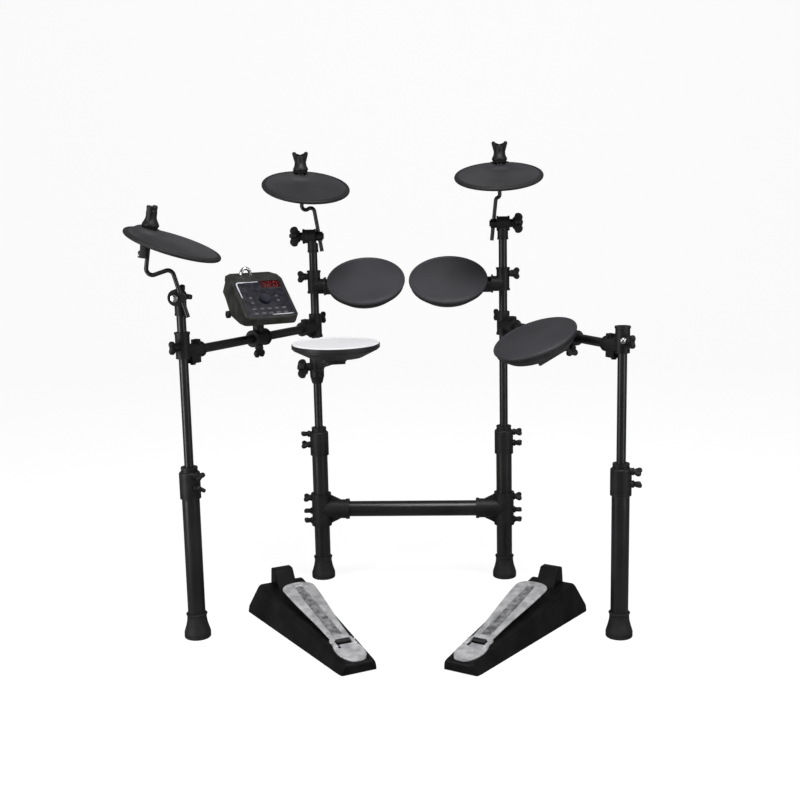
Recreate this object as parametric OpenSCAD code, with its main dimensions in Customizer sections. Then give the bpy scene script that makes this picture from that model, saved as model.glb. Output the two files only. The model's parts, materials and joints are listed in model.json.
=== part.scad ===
// Electronic drum kit: a four-legged rack with two swinging side arms, three cymbal pads,
// three tom pads, a snare pad, a sound module and two foot pedals.
// Millimetres, +Z up. The drummer sits on the -Y side. The origin lies on the floor,
// in the middle of the whole kit's footprint.

/* [Rack] */
// Distance between the two rear legs, axis to axis
rear_span = 500; // [440:5:600]
// Length of a side arm, post axis to post axis
arm_len = 515; // [460:5:560]
// Angle of the side arms outward from straight ahead
arm_angle = 30; // [24:1:34]
// Height of the side arms' axes above the floor
arm_h = 698; // [660:5:740]
// Height of the crossbar's axis above the floor
bar_h = 195; // [165:5:225]
// Height of the top ends of the thick lower tubes
leg_top = 372; // [340:2:390]
// Outer diameter of the thick tubes
leg_od = 42; // [38:1:44]
// Wall of the thick tubes
leg_wall = 2; // [1.5:0.1:2.5]
// Outer diameter of the thin tubes
post_od = 22; // [20:0.5:24]
// Wall of the thin tubes
post_wall = 1.5; // [1:0.1:2]
// Height of the lower ends of the thin posts inside the thick tubes
post_foot = 205; // [190:5:230]
// Height of the top of the front right post
end_post_top = 736; // [732:1:760]

/* [Feet and collars] */
// Diameter of a rubber foot
foot_d = 64; // [58:1:72]
// Height of a rubber foot
foot_h = 62; // [52:1:70]
// Outer diameter of the height collars
collar_d = 50; // [49:0.5:54]
// Length of a height collar
collar_h = 76; // [66:1:84]
// How far a collar reaches down over the thick tube
collar_lap = 24; // [18:1:30]

/* [Clamps] */
// Height of the tee clamps on the rear legs
tee_h = 90; // [80:1:100]
// Reach of a tee clamp's socket from the leg's axis
tee_reach = 77; // [70:1:90]
// Wall of the clamps on the thick tubes
tee_wall = 5; // [4:0.5:6]
// Outer diameter of the clamps on the thin tubes
clamp_d = 34; // [32:1:38]
// Height of the arm clamps' sleeves
arm_clamp_h = 62; // [56:1:66]
// Reach of an arm clamp's socket from the post's axis
arm_clamp_reach = 62; // [54:1:70]
// Running clearance between a tube and what slides or turns on it
fit = 0.08; // [0.05:0.01:0.1]
// Gap between surfaces that move past each other
gap = 0.3; // [0.3:0.05:0.5]

/* [Cymbal pads] */
// Diameter of a cymbal pad
cymbal_d = 228; // [210:1:250]
// Distance from a cymbal pad's middle to its mounting ball
cymbal_offset = 55; // [45:1:62]
// Thickness of a cymbal pad at its rim
cymbal_rim = 9; // [7:0.5:12]
// Diameter of the bent rods
rod_d = 10; // [9:0.5:11]
// Height of the hi-hat pad's ball above the floor
hihat_h = 983; // [950:1:1000]
// Height of the left rear pad's ball above the floor
crash_h = 1098; // [1070:1:1110]
// Height of the right rear pad's ball above the floor
ride_h = 1114; // [1090:1:1130]
// Height of the bolt in the hi-hat's clamp
hihat_bolt_h = 826; // [820:1:840]
// Height of the bolt in the left rear clamp
crash_bolt_h = 938; // [930:1:950]
// Height of the bolt in the right rear clamp
ride_bolt_h = 963; // [955:1:975]

/* [Drum pads] */
// Diameter of the tom pads
tom_d = 208; // [190:1:215]
// Slope of the two rear tom pads
tom_tilt = 31; // [22:1:38]
// Distance from the rear left post to the middle of its tom pad
left_tom_reach = 138; // [132:1:148]
// Distance from the rear right post to the middle of its tom pad
right_tom_reach = 144; // [132:1:148]
// Height of the rear toms' tilt axles
tom_axle_h = 806; // [798:1:814]
// Distance along the right arm from the rear post to the floor tom's clamp
floor_tom_at = 316; // [300:1:330]
// Distance from the right arm to the middle of the floor tom pad, along its slope
floor_tom_reach = 98; // [94:1:110]
// Diameter of the snare pad
snare_d = 210; // [195:1:220]
// Height of the snare pad's top face
snare_h = 698; // [690:1:706]
// Height of the snare clamp's middle
snare_clamp_h = 590; // [580:1:600]

/* [Sound module] */
// Width of the module
module_w = 138; // [125:1:150]
// Distance along the left arm from the rear post to the module's clamp
module_at = 238; // [220:1:250]
// Height of the module's tilt bolt above the arm's axis
module_lift = 42; // [38:1:50]

/* [Pedals] */
// Length of a pedal's base
pedal_len = 512; // [480:1:524]
// Width of the base at the toe end
pedal_rear_w = 172; // [160:1:185]
// Width of the base at the heel
pedal_front_w = 90; // [84:1:96]
// Height of the base at the toe end
pedal_rear_h = 78; // [72:1:84]
// Height of the base at the heel
pedal_front_h = 28; // [24:1:32]
// Distance from the toe end to the footboard's hinge
pedal_hinge_at = 415; // [405:1:425]
// Slope that the footboard makes with the floor
board_slope = 10.4; // [9.8:0.1:11]

/* [Hidden] */
$fn = 64;

black = "#1c1c1e";
plastic = "#26262a";
rubber = "#2d2d31";
head_white = "#ececf0";
silver = "#b4b4b8";
glass = "#5a1c1c";

// The rack's front row of posts lies on y = 0 before the whole kit is centred.
kit_x = 36.8;
kit_y = -146.4;
rear_y = arm_len * cos(arm_angle);
rear_x = rear_span / 2;
front_x = rear_x + arm_len * sin(arm_angle);

post_r = post_od / 2;
leg_r = leg_od / 2;
leg_foot = 10;
collar_bottom = leg_top - collar_lap;
bolt_d = 8;

// Which way each side faces: -1 is the left of the kit, +1 the right
left = -1;
right = 1;

// ---------- shared shapes ----------

module tube(r, wall, h) {
    difference() {
        cylinder(r = r, h = h);
        translate([0, 0, -1]) cylinder(r = r - wall, h = h + 2);
    }
}

// Lays a shape that was made along +Z along +X
module along_x() {
    rotate([0, 90, 0]) children();
}

module at_rear(side) {
    translate([kit_x + side * rear_x, kit_y + rear_y, 0]) children();
}

module at_front(side) {
    translate([kit_x + side * front_x, kit_y, 0]) children();
}

// At a side arm's rear end, with +X along the arm toward the front post
module along_arm(side) {
    at_rear(side) translate([0, 0, arm_h]) rotate([0, 0, arm_heading(side)]) children();
}

function arm_heading(side) = -90 + side * arm_angle;

// A polygon with every corner rounded, made of true arcs
module rounded(points, r) {
    count = len(points);
    polygon(points);
    for (i = [0 : count - 1]) {
        here = points[i];
        next = points[(i + 1) % count];
        along = (next - here) / norm(next - here);
        out = [along[1], -along[0]] * r;
        translate(here) circle(r);
        polygon([here, here + out, next + out, next]);
    }
}

// Wing screw along +Z: a hub on a flat face at z = 0 and two rounded ears
module wing_screw(hub = 12, ear = 13) {
    cylinder(d1 = hub + 3, d2 = hub - 1, h = 9);
    translate([0, 0, 5]) rotate([90, 0, 0]) translate([0, 0, -2.5]) linear_extrude(5) {
        translate([-hub / 2, 0]) square([hub, 8]);
        for (s = [-1, 1]) {
            translate([s * ear * 0.62, 9]) circle(ear / 2);
            polygon([[0, 0], [s * hub / 2, 0], [s * ear * 0.95, 5], [s * ear * 0.3, 14], [0, 8]]);
        }
    }
}

// A boss on a clamp's wall with its screw: axis along +X, starting at the clamp's middle
module side_boss(from, reach, d) {
    along_x() translate([0, 0, from]) cylinder(d = d, h = reach - from);
}

// ---------- legs, feet and collars ----------

module leg() {
    color(black) translate([0, 0, leg_foot]) tube(leg_r, leg_wall, leg_top - leg_foot);
}

module foot() {
    r = foot_d / 2;
    toe = 5;
    neck_r = leg_r + 2.4;
    flare = 22;
    flare_z = foot_h - 8;
    color(rubber) rotate_extrude($fn = 96) difference() {
        union() {
            translate([0, toe]) square([r, flare_z - toe]);
            square([r - toe, 2 * toe]);
            translate([r - toe, toe]) circle(toe);
            square([neck_r, foot_h]);
        }
        // Socket for the leg
        translate([-1, leg_foot]) square([leg_r + fit + 1, foot_h]);
        // The hollow of the flare
        translate([neck_r + flare, flare_z]) circle(flare);
        // Tread grooves in the underside
        for (at = [10, 18]) translate([at, -1]) square([3, 3]);
    }
}

module collar() {
    r = collar_d / 2;
    top = collar_h;
    color(plastic) translate([0, 0, collar_bottom]) {
        rotate_extrude($fn = 96) difference() {
            union() {
                square([r, top - 16]);
                translate([0, top - 16]) square([r - 5, 16]);
                translate([r - 5, top - 16]) intersection() {
                    circle(5);
                    square(5);
                }
            }
            translate([-1, -1]) square([post_r + fit + 1, top + 2]);
            translate([-1, -1]) square([leg_r + fit + 1, collar_lap + 1]);
            // Grip grooves round the lower skirt and the neck
            for (z = [5, 10]) translate([r - 1, z]) square([2, 2]);
            translate([r - 6, top - 8]) square([2, 3]);
        }
        for (z = collar_screws()) translate([0, 0, z]) difference() {
            side_boss(r - 1.5, collar_screw_reach(), 17);
            cylinder(r = post_r + fit, h = 40, center = true);
        }
        for (i = [0, 1]) translate([collar_screw_reach(), 0, collar_screws()[i]])
            along_x() rotate([0, 0, collar_screw_turns[i]]) wing_screw(11, 10);
    }
}

collar_screw_turns = [56, 116];
function collar_screws() = [collar_lap + 4, collar_h - 18];
function collar_screw_reach() = collar_d / 2 + 3;

module post(top) {
    color(black) translate([0, 0, post_foot]) tube(post_r, post_wall, top - post_foot);
}

module capped_post(top) {
    post(top);
    color(plastic) translate([0, 0, top - 8]) {
        cylinder(r = post_r - post_wall - 0.05, h = 8);
        translate([0, 0, 8]) cylinder(r1 = post_r, r2 = post_r - 2, h = 4);
    }
}

// ---------- rear frame ----------

module crossbar_tube() {
    inner = rear_span / 2 - leg_r - fit - tee_wall;
    color(black) translate([kit_x - inner, kit_y + rear_y, bar_h])
        along_x() tube(leg_r, leg_wall, 2 * inner);
}

// Tee clamp: made with its socket along +X
module tee() {
    r = leg_r + tee_wall;
    ring = r + 2;
    color(plastic) difference() {
        union() {
            translate([0, 0, bar_h - tee_h / 2]) cylinder(r = r, h = tee_h);
            translate([0, 0, bar_h]) along_x() {
                cylinder(r = r, h = tee_reach);
                translate([0, 0, tee_reach - 9]) cylinder(r = ring, h = 9);
            }
            // Webs between the socket and the sleeve
            for (s = [-1, 1]) translate([0, 0, bar_h]) rotate([90, 0, 0])
                translate([0, 0, -5]) linear_extrude(10)
                    polygon([[0, 0], [0, s * tee_h / 2], [r + 1, s * (tee_h / 2 - 6)],
                             [tee_reach - 18, s * (leg_r + 2)]]);
            for (z = tee_screws()) translate([0, 0, bar_h + z])
                mirror([1, 0, 0]) side_boss(leg_r, r + 1, 18);
            for (z = [-tee_h / 2, tee_h / 2 - 6]) translate([0, 0, bar_h + z])
                cylinder(r = r + 1.5, h = 6);
        }
        translate([0, 0, bar_h - tee_h]) cylinder(r = leg_r + fit, h = 2 * tee_h);
        translate([leg_r + fit + tee_wall, 0, bar_h]) along_x()
            cylinder(r = leg_r + fit, h = tee_reach);
    }
    color(black) for (i = [0 : 2]) translate([-(leg_r + tee_wall + 1), 0, bar_h + tee_screws()[i]])
        mirror([1, 0, 0]) along_x() rotate([0, 0, tee_screw_turns[i]]) wing_screw(12, 11);
}

tee_screw_turns = [58, 85, 122];
function tee_screws() = [-tee_h / 2 + 13, -5, tee_h / 2 - 13];

// ---------- side arms ----------

arm_end = post_r + 7;

module arm_tube() {
    color(black) translate([arm_end, 0, 0]) along_x() tube(post_r, post_wall, arm_len - 2 * arm_end);
}

module at_arm_end() {
    translate([arm_len, 0, 0]) rotate([0, 0, 180]) children();
}

// Clamp on a rear post: +X runs along the arm, z = 0 on the arm's axis
module swing_clamp() {
    r = clamp_d / 2;
    low = -arm_clamp_h * 0.44;
    color(plastic) difference() {
        union() {
            translate([0, 0, low]) cylinder(r = r, h = arm_clamp_h);
            along_x() cylinder(r = r, h = arm_clamp_reach);
            translate([0, 0, low]) cylinder(r = r + 1.5, h = 6);
            along_x() translate([0, 0, arm_clamp_reach - 6]) cylinder(r = r + 1.5, h = 6);
            // Split lug with the pinch bolt above the socket
            translate([arm_clamp_reach - 26, -7, 0]) cube([18, 14, r + 8]);
            translate([0, 0, low + arm_clamp_h - 13]) mirror([1, 0, 0]) side_boss(post_r, r + 5, 17);
            rotate([90, 0, 0]) translate([0, 0, -4]) linear_extrude(8)
                polygon([[0, 0], [0, low], [r + 1, low], [arm_clamp_reach - 14, -post_r - 2]]);
        }
        translate([0, 0, low - 1]) cylinder(r = post_r + fit, h = arm_clamp_h + 2);
        translate([arm_end, 0, 0]) along_x() cylinder(r = post_r + fit, h = arm_clamp_reach);
        translate([arm_clamp_reach - 27, -1, post_r - 2]) cube([20, 2, r]);
    }
    color(black) {
        translate([-(r + 5), 0, low + arm_clamp_h - 13]) mirror([1, 0, 0]) along_x() wing_screw();
        translate([arm_clamp_reach - 17, 7, r + 2]) rotate([-90, 0, 0])
            cylinder(d = 9, h = 4, $fn = 6);
        translate([arm_clamp_reach - 17, -7, r + 2]) rotate([90, 0, 0]) cylinder(d = 9, h = 4);
    }
}

// Clamp on a front post, at the arm's far end: +X runs back along the arm
module arm_clamp() {
    r = clamp_d / 2;
    low = -15;
    high = low + arm_clamp_h;
    block = [30, 26, 24];
    knob_z = 14;
    color(plastic) difference() {
        union() {
            translate([0, 0, low]) cylinder(r = r, h = arm_clamp_h);
            translate([0, 0, high - 5]) cylinder(r = r + 1.5, h = 5);
            along_x() cylinder(r = r, h = arm_clamp_reach);
            along_x() translate([0, 0, arm_clamp_reach - 6]) cylinder(r = r + 1.5, h = 6);
            translate([post_r + 6, -block[1] / 2, -r - block[2] + 12]) cube(block);
            translate([arm_clamp_reach - 26, -7, 0]) cube([18, 14, r + 8]);
            translate([0, 0, knob_z]) mirror([1, 0, 0]) side_boss(post_r, r + 5, 17);
        }
        translate([0, 0, -arm_clamp_h]) cylinder(r = post_r + fit, h = 3 * arm_clamp_h);
        translate([arm_end, 0, 0]) along_x() cylinder(r = post_r + fit, h = arm_clamp_reach);
        translate([arm_clamp_reach - 27, -1, post_r - 2]) cube([20, 2, r]);
    }
    color(black) {
        translate([-(r + 5), 0, knob_z]) mirror([1, 0, 0]) along_x() wing_screw();
        translate([post_r + 21, 0, -r - block[2] + 12]) mirror([0, 0, 1]) cylinder(d = 13, h = 5, $fn = 6);
        translate([arm_clamp_reach - 17, 7, r + 2]) rotate([-90, 0, 0])
            cylinder(d = 9, h = 4, $fn = 6);
        translate([arm_clamp_reach - 17, -7, r + 2]) rotate([90, 0, 0]) cylinder(d = 9, h = 4);
    }
}

// ---------- cymbal pads ----------

barrel_r = 18;
barrel_len = 34;
barrel_flange = 1.5;
eye_r = 12;
ball_r = 10;
bush_r = 16;
bush_h = 10;
nut_gap = 12;
nut_h = 54;
post_cap = barrel_r + 4;

// Height of a post's top under its cymbal clamp
function clamp_post_top(bolt_h) = bolt_h - post_cap;

// Half the length of a rod's eye: enough for the leaning rod to clear the barrel
function eye_half(lean) = rod_d / 2 / cos(lean) + (barrel_r + barrel_flange) * tan(lean) + 2 * gap;

// Clamp on a post's top: bolt along X, the rod's eye on the +X side, z = 0 on the bolt
module cymbal_clamp(eye_x, half, shift = 0) {
    start = eye_x - half - gap - barrel_len;
    stub_r = post_r + 3;
    stub_low = -barrel_r - 24;
    eye_room = barrel_r + barrel_flange + 0.7;
    color(plastic) difference() {
        union() {
            translate([start, shift, 0]) along_x() {
                cylinder(r = barrel_r, h = barrel_len);
                translate([0, 0, barrel_len - 4]) cylinder(r = barrel_r + barrel_flange, h = 4);
                cylinder(r = barrel_r + barrel_flange, h = 4);
            }
            translate([0, 0, stub_low]) cylinder(r = stub_r, h = -stub_low);
            translate([0, 0, stub_low]) cylinder(r = stub_r + 0.6, h = 5);
        }
        translate([start - 1, shift, 0]) along_x() cylinder(d = bolt_d + 2 * fit, h = barrel_len + 2);
        translate([0, 0, stub_low - 1]) cylinder(r = post_r + fit, h = 1 - stub_low - post_cap + gap);
        // Room for the rod's eye
        translate([start + barrel_len - 0.05, shift, 0]) along_x() cylinder(r = eye_room, h = 2 * eye_room);
    }
}

// A rod bent in the XZ plane. It rises from its eye at the origin, leaning by `lean` toward -X,
// turns over by `turn`, runs `link` and comes back, then rises `head` to its ball, leaning by `tip`
// toward +X.
module bent_rod(lean, low, rise, turn, link, bend, tip, head) {
    elbow_r = rod_d / 2 + 0.06;
    dir1 = 90 + lean;
    dir2 = dir1 + turn;
    dir3 = 90 - tip;
    start1 = rise * [cos(dir1), sin(dir1)];
    end1 = start1 + bend * [sin(dir2) - sin(dir1), cos(dir1) - cos(dir2)];
    end2 = end1 + link * [cos(dir2), sin(dir2)];
    centre1 = start1 + bend * [-sin(dir1), cos(dir1)];
    centre2 = end2 + bend * [sin(dir2), -cos(dir2)];
    end3 = centre2 + bend * [-sin(dir3), cos(dir3)];
    ball = end3 + head * [cos(dir3), sin(dir3)];
    rotate([90, 0, 0]) {
        translate([-low * cos(dir1), -low * sin(dir1), 0]) rotate([0, 0, dir1])
            rod_piece(low + rise);
        translate(centre1) rotate([0, 0, dir1 - 90]) rotate_extrude(angle = turn)
            translate([bend, 0]) circle(elbow_r, $fn = 32);
        translate(end1) rotate([0, 0, dir2]) rod_piece(link);
        translate(centre2) rotate([0, 0, 180 - tip]) rotate_extrude(angle = dir2 - dir3)
            translate([bend, 0]) circle(elbow_r, $fn = 32);
        translate(end3) rotate([0, 0, dir3]) rod_piece(head);
    }
    translate([ball[0], 0, ball[1]]) rotate([0, tip, 0]) {
        sphere(ball_r, $fn = 48);
        cylinder(d = bolt_d, h = nut_gap + nut_h - 22);
        translate([0, 0, -ball_r - 12]) cylinder(d1 = rod_d + 4, d2 = rod_d + 8, h = 6);
    }
}

// A straight piece along +X whose ends sink a little into the elbows
module rod_piece(length) {
    lap = 0.4;
    translate([-lap, 0, 0]) along_x() cylinder(d = rod_d, h = length + 2 * lap, $fn = 32);
}

// Horizontal and vertical run of a bent rod from its eye to the start of its head
function rod_run(lean, rise, turn, link, bend, tip) =
    let (dir1 = 90 + lean, dir2 = dir1 + turn, dir3 = 90 - tip)
    rise * [cos(dir1), sin(dir1)]
    + bend * [sin(dir2) - sin(dir1), cos(dir1) - cos(dir2)]
    + link * [cos(dir2), sin(dir2)]
    + bend * [sin(dir2) - sin(dir3), cos(dir3) - cos(dir2)];

// Length of a rod's head from its last elbow to a ball `up` above its eye
function head_of(shape, up) = (up - run_of(shape)[1]) / cos(shape[6]);

// The rod's eye bolt and its wing screw: the eye is centred on the rod, the bolt runs along -X
module eye_bolt(half) {
    length = half + 2 * gap + barrel_len;
    translate([-half, 0, 0]) along_x() cylinder(r = eye_r, h = 2 * half);
    translate([half, 0, 0]) along_x() cylinder(r = eye_r - 4, h = 3);
    translate([-length - 6, 0, 0]) along_x() cylinder(d = bolt_d, h = length + 6.5 - half);
    translate([-length, 0, 0]) mirror([1, 0, 0]) along_x() {
        cylinder(r = 11, h = 9);
        translate([0, 0, 8]) rotate([0, 0, 80]) wing_screw(18, 23);
    }
}

// A cymbal pad about its ball: the playing side points to -Y, and the disc's middle lies `offset`
// away in that direction
module cymbal_disc(droop, offset = cymbal_offset) {
    bell_top = 3;
    under = -bush_h / 2;
    color(rubber) rotate([droop, 0, 0]) difference() {
        union() {
            translate([0, -offset, -cymbal_drop]) cymbal_shell();
            translate([0, 0, under - 6]) cylinder(r1 = 33, r2 = 24, h = bell_top - under + 6);
            translate([0, 0, under]) cylinder(r = bush_r, h = bush_h);
        }
        sphere(ball_r + gap, $fn = 48);
        // The hollow bell
        translate([0, 0, under - 20]) cylinder(r = 22, h = 20);
    }
}

// The bowed shell of a cymbal pad, with a thick soft rim, z = 0 on the rim's middle
module cymbal_shell() {
    r = cymbal_d / 2;
    rim = cymbal_rim / 2;
    steps = 14;
    flat = r - rim;
    top = [for (i = [0 : steps]) [flat * (1 - i / steps), rim + bow(i / steps)]];
    under = [for (i = [steps : -1 : 1]) [flat * (1 - i / steps), rim + bow(i / steps) - shell_wall]];
    rotate_extrude($fn = 120) {
        polygon(concat(top, under, [[flat - 9, -rim], [flat, -rim]]));
        translate([flat, 0]) intersection() {
            circle(rim, $fn = 32);
            translate([0, -rim]) square(2 * rim);
        }
    }
}

// Rise of the bowed shell above its rim, at `t` from 0 at the rim to 1 at the middle
function bow(t) = 7 * sin(90 * t);

cymbal_drop = 14;
shell_wall = 5;

// A tall wing nut over a flared foot, z = 0 on the ball
module cymbal_nut() {
    difference() {
        union() {
            translate([0, 0, nut_gap]) cylinder(r1 = 20, r2 = 14, h = 18);
            translate([0, 0, nut_gap + 18]) cylinder(r1 = 14, r2 = 12, h = 26);
            translate([0, 0, nut_gap + 4]) rotate([90, 0, 0]) translate([0, 0, -6]) linear_extrude(12)
                nut_blade(nut_h - 4);
        }
        translate([0, 0, nut_gap - 1]) cylinder(d = bolt_d + 2 * fit, h = nut_h - 20);
    }
}

module nut_blade(h) {
    difference() {
        union() {
            polygon([[-16, 0], [16, 0], [14.5, h * 0.4], [17.5, h - 5],
                     [-17.5, h - 5], [-14.5, h * 0.4]]);
            for (s = [-1, 1]) translate([s * 15.5, h - 5]) circle(5);
        }
        translate([0, h + 10]) circle(17.5);
    }
}

// Each rod: lean, length below its eye, rise, turn, link, bend, lean of its head back again
hihat_eye = 20;
crash_eye = 17.5;
ride_eye = 24;
hihat_shape = [16, 46, 56, 92, 28, 14, 9];
crash_shape = [9, 40, 66, 112, 3, 10, 0];
ride_shape = [6, 44, 60, 60, 1, 8, 0];
hihat_droop = 20;
hihat_extra = 6;
crash_droop = 20;
ride_droop = 17;
hihat_turn = 80;
crash_turn = 22;
ride_turn = -4;

// A rod's run from its eye to its ball, and the ball's place from its post's axis
function run_of(shape) = rod_run(shape[0], shape[2], shape[3], shape[4], shape[5], shape[6]);
function ball_at(shape, eye_x) = [eye_x + run_of(shape)[0], 0];
function ball_x(shape, up) = run_of(shape)[0] + head_of(shape, up) * sin(shape[6]);

module rod_shape(shape, ball_h, bolt_h) {
    bent_rod(shape[0], shape[1], shape[2], shape[3], shape[4], shape[5], shape[6],
             head_of(shape, ball_h - bolt_h));
}

// A rod that bends in the plane of its clamp's bolt
module rod_with_eye(shape, ball_h, bolt_h, eye_x) {
    color(black) translate([eye_x, 0, bolt_h]) {
        rod_shape(shape, ball_h, bolt_h);
        eye_bolt(eye_half(shape[0]));
    }
}

// Carries its children to a pad's ball, turned about the upright rod
module on_ball(at, ball_h, turn) {
    translate([at[0], at[1], ball_h]) rotate([0, 0, turn]) children();
}

// The hi-hat's clamp faces the drummer, and its rod passes beside the bolt
hihat_bolt_x = -7;
hihat_rod_x = 8;
hihat_half = eye_half(0);
hihat_ball = [hihat_rod_x + ball_x(hihat_shape, hihat_h - hihat_bolt_h), -hihat_eye];

module hihat_rod_parts() {
    lug_r = 11;
    reach = hihat_rod_x - hihat_bolt_x;
    color(black) translate([0, -hihat_eye, hihat_bolt_h]) {
        translate([hihat_rod_x, 0, 0]) rod_shape(hihat_shape, hihat_h, hihat_bolt_h);
        translate([hihat_bolt_x, 0, 0]) {
            rotate([0, 0, -90]) eye_bolt(hihat_half);
            translate([0, -hihat_half, -lug_r]) cube([reach, 2 * hihat_half, 2 * lug_r]);
        }
        translate([hihat_rod_x, hihat_half, 0]) rotate([90, 0, 0]) cylinder(r = lug_r, h = 2 * hihat_half);
    }
}

module hihat_place() {
    at_front(left) children();
}

module crash_place() {
    at_rear(left) children();
}

module ride_place() {
    at_rear(right) mirror([1, 0, 0]) children();
}

// ---------- drum pads ----------

shell_h = 26;
skin_h = 9;
axle_d = 14;
rear_tom_under = 11;
floor_tom_under = 42.6;
hub_r = 20;

// A round pad's moulded shell, z = 0 under the rubber skin
module pad_shell(d) {
    r = d / 2;
    difference() {
        union() {
            translate([0, 0, -shell_h]) cylinder(r1 = r * 0.78, r2 = r - 4, h = shell_h - 8);
            translate([0, 0, -8]) cylinder(r = r - 4, h = 8);
        }
        translate([0, 0, -shell_h - 1]) difference() {
            cylinder(r = r * 0.78 - 5, h = 8);
            for (a = [0 : 60 : 300]) rotate([0, 0, a]) translate([0, -2, 0]) cube([r, 4, 8]);
            cylinder(r = 30, h = 8);
        }
    }
}

module pad_skin(d) {
    r = d / 2;
    color(rubber) rotate_extrude($fn = 120) {
        square([r - skin_h / 2, skin_h]);
        translate([r - skin_h / 2, skin_h / 2]) intersection() {
            circle(skin_h / 2, $fn = 32);
            translate([-1, -skin_h]) square(2 * skin_h);
        }
        square([r - skin_h / 2, 0.01]);
    }
}

// Clamp on a post with a tilting axle along +X, z = 0 on the axle
module tom_clamp() {
    r = clamp_d / 2;
    low = -18;
    h = 60;
    color(plastic) difference() {
        union() {
            translate([0, 0, low]) cylinder(r = r, h = h);
            translate([0, 0, low]) cylinder(r = r + 1.5, h = 5);
            translate([0, 0, low + h - 5]) cylinder(r = r + 1.5, h = 5);
            along_x() cylinder(r = hub_r, h = tom_axle_start);
            translate([0, 0, low + h - 16]) mirror([1, 0, 0]) side_boss(post_r, r + 5, 17);
        }
        translate([0, 0, -hub_r - 1]) cylinder(r = post_r + fit, h = hub_r + low + h + 2);
        translate([post_r + 3, 0, 0]) along_x() cylinder(d = axle_d + 2 * fit, h = tom_axle_start);
    }
    color(black) translate([-(r + 5), 0, low + h - 16]) mirror([1, 0, 0]) along_x() wing_screw();
}

tom_axle_start = 26;

// Shell with its bracket: the tilt axle lies on the X axis, the pad's middle `reach` away
module tom_shell(reach, tilt, under) {
    hub_end = tom_axle_start + gap;
    bar_t = 7;
    bar_low = -hub_r * 0.7;
    color(plastic) {
        rotate([tilt, 0, 0]) translate([reach, 0, under]) pad_shell(tom_d);
        // Axle, hub and the two bars that carry the shell
        translate([post_r + 3 + gap, 0, 0]) along_x() cylinder(d = axle_d, h = reach - post_r - 20);
        translate([hub_end, 0, 0]) along_x() cylinder(r = hub_r, h = 5);
        translate([hub_end, -13, -hub_r - 3]) cube([5, 26, 2 * hub_r + 6]);
        rotate([tilt, 0, 0]) for (s = [-1, 1]) translate([hub_end, s * 15 - bar_t / 2, bar_low])
            cube([reach - tom_axle_start + 20, bar_t, under - 1 - bar_low]);
    }
}

module tom_skin(reach, tilt, under) {
    rotate([tilt, 0, 0]) translate([reach, 0, under]) pad_skin(tom_d);
}

module at_left_tom() {
    at_rear(left) translate([0, 0, tom_axle_h]) children();
}

module at_right_tom() {
    at_rear(right) translate([0, 0, tom_axle_h]) mirror([1, 0, 0]) children();
}

// Floor tom: +X runs from the arm inward to the pad, Y runs along the arm
floor_tom_tilt = -2.6;
floor_tom_fall = 23;

module at_floor_tom() {
    along_arm(right) translate([floor_tom_at, 0, 0]) rotate([0, 0, -90]) children();
}

// Tips the floor tom's neck down toward the middle of the kit
module floor_slope() {
    rotate([0, floor_tom_fall, 0]) children();
}

module floor_clamp() {
    r = clamp_d / 2;
    color(plastic) difference() {
        union() {
            rotate([90, 0, 0]) translate([0, 0, -22]) cylinder(r = r, h = 44);
            floor_slope() along_x() cylinder(r = hub_r - 5, h = tom_axle_start);
            for (y = [-22, 17]) rotate([-90, 0, 0]) translate([0, 0, y]) cylinder(r = r + 1.5, h = 5);
            translate([0, 0, -r - 8]) cylinder(d = 18, h = r);
        }
        rotate([90, 0, 0]) translate([0, 0, -30]) cylinder(r = post_r + fit, h = 60);
        floor_slope() translate([post_r + 3, 0, 0]) along_x()
            cylinder(d = axle_d + 2 * fit, h = tom_axle_start);
    }
    color(black) translate([0, 0, -r - 8]) mirror([0, 0, 1]) wing_screw();
}

// Snare: the rod leaves the clamp toward the drummer and rises to the shell
snare_place = [86, -315];
snare_shell_h = 30;
snare_head_h = 5;
snare_axle_z = snare_h - snare_head_h - snare_shell_h - 8;

module snare_rod_line() {
    from = [0, 0, snare_clamp_h];
    run = [snare_place[0], snare_place[1], snare_axle_z - snare_clamp_h];
    translate(from) rotate([0, 0, atan2(run[1], run[0])])
        rotate([0, -atan2(run[2], norm([run[0], run[1]])), 0]) children();
}

snare_rod_len = norm([snare_place[0], snare_place[1], snare_axle_z - snare_clamp_h]);

module snare_clamp_parts() {
    r = clamp_d / 2;
    h = 50;
    bottom = snare_clamp_h - h / 2;
    color(plastic) difference() {
        union() {
            translate([0, 0, bottom]) cylinder(r = r + 2, h = h);
            translate([0, 0, bottom - 19]) cylinder(r1 = post_r + 3, r2 = r + 2, h = 19);
            snare_rod_line() along_x() cylinder(r = 16, h = 40);
            translate([0, 0, snare_clamp_h]) mirror([1, 0, 0]) side_boss(post_r, r + 8, 22);
        }
        translate([0, 0, bottom - 20]) cylinder(r = post_r + fit, h = h + 21);
        snare_rod_line() translate([24, 0, 0]) along_x() cylinder(r = 8 + fit, h = 20);
    }
    color(black) {
        translate([-(r + 8), 0, snare_clamp_h]) mirror([1, 0, 0]) along_x()
            rotate([0, 0, 70]) wing_screw(18, 23);
        difference() {
            union() {
                snare_rod_line() translate([24, 0, 0]) along_x() cylinder(r = 8, h = snare_rod_len - 24);
                snare_knuckle(11, 2 * 14.2);
            }
            snare_knuckle(4 + fit, 60);
        }
    }
}

// A round piece across the rod's far end, where the shell tilts
module snare_knuckle(r, length) {
    translate([snare_place[0], snare_place[1], snare_axle_z]) rotate([0, 0, snare_heading])
        rotate([90, 0, 0]) cylinder(r = r, h = length, center = true);
}

snare_heading = atan2(snare_place[1], snare_place[0]);

module at_snare() {
    at_rear(left) translate([snare_place[0], snare_place[1], snare_axle_z])
        rotate([0, 0, snare_heading]) children();
}

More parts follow.
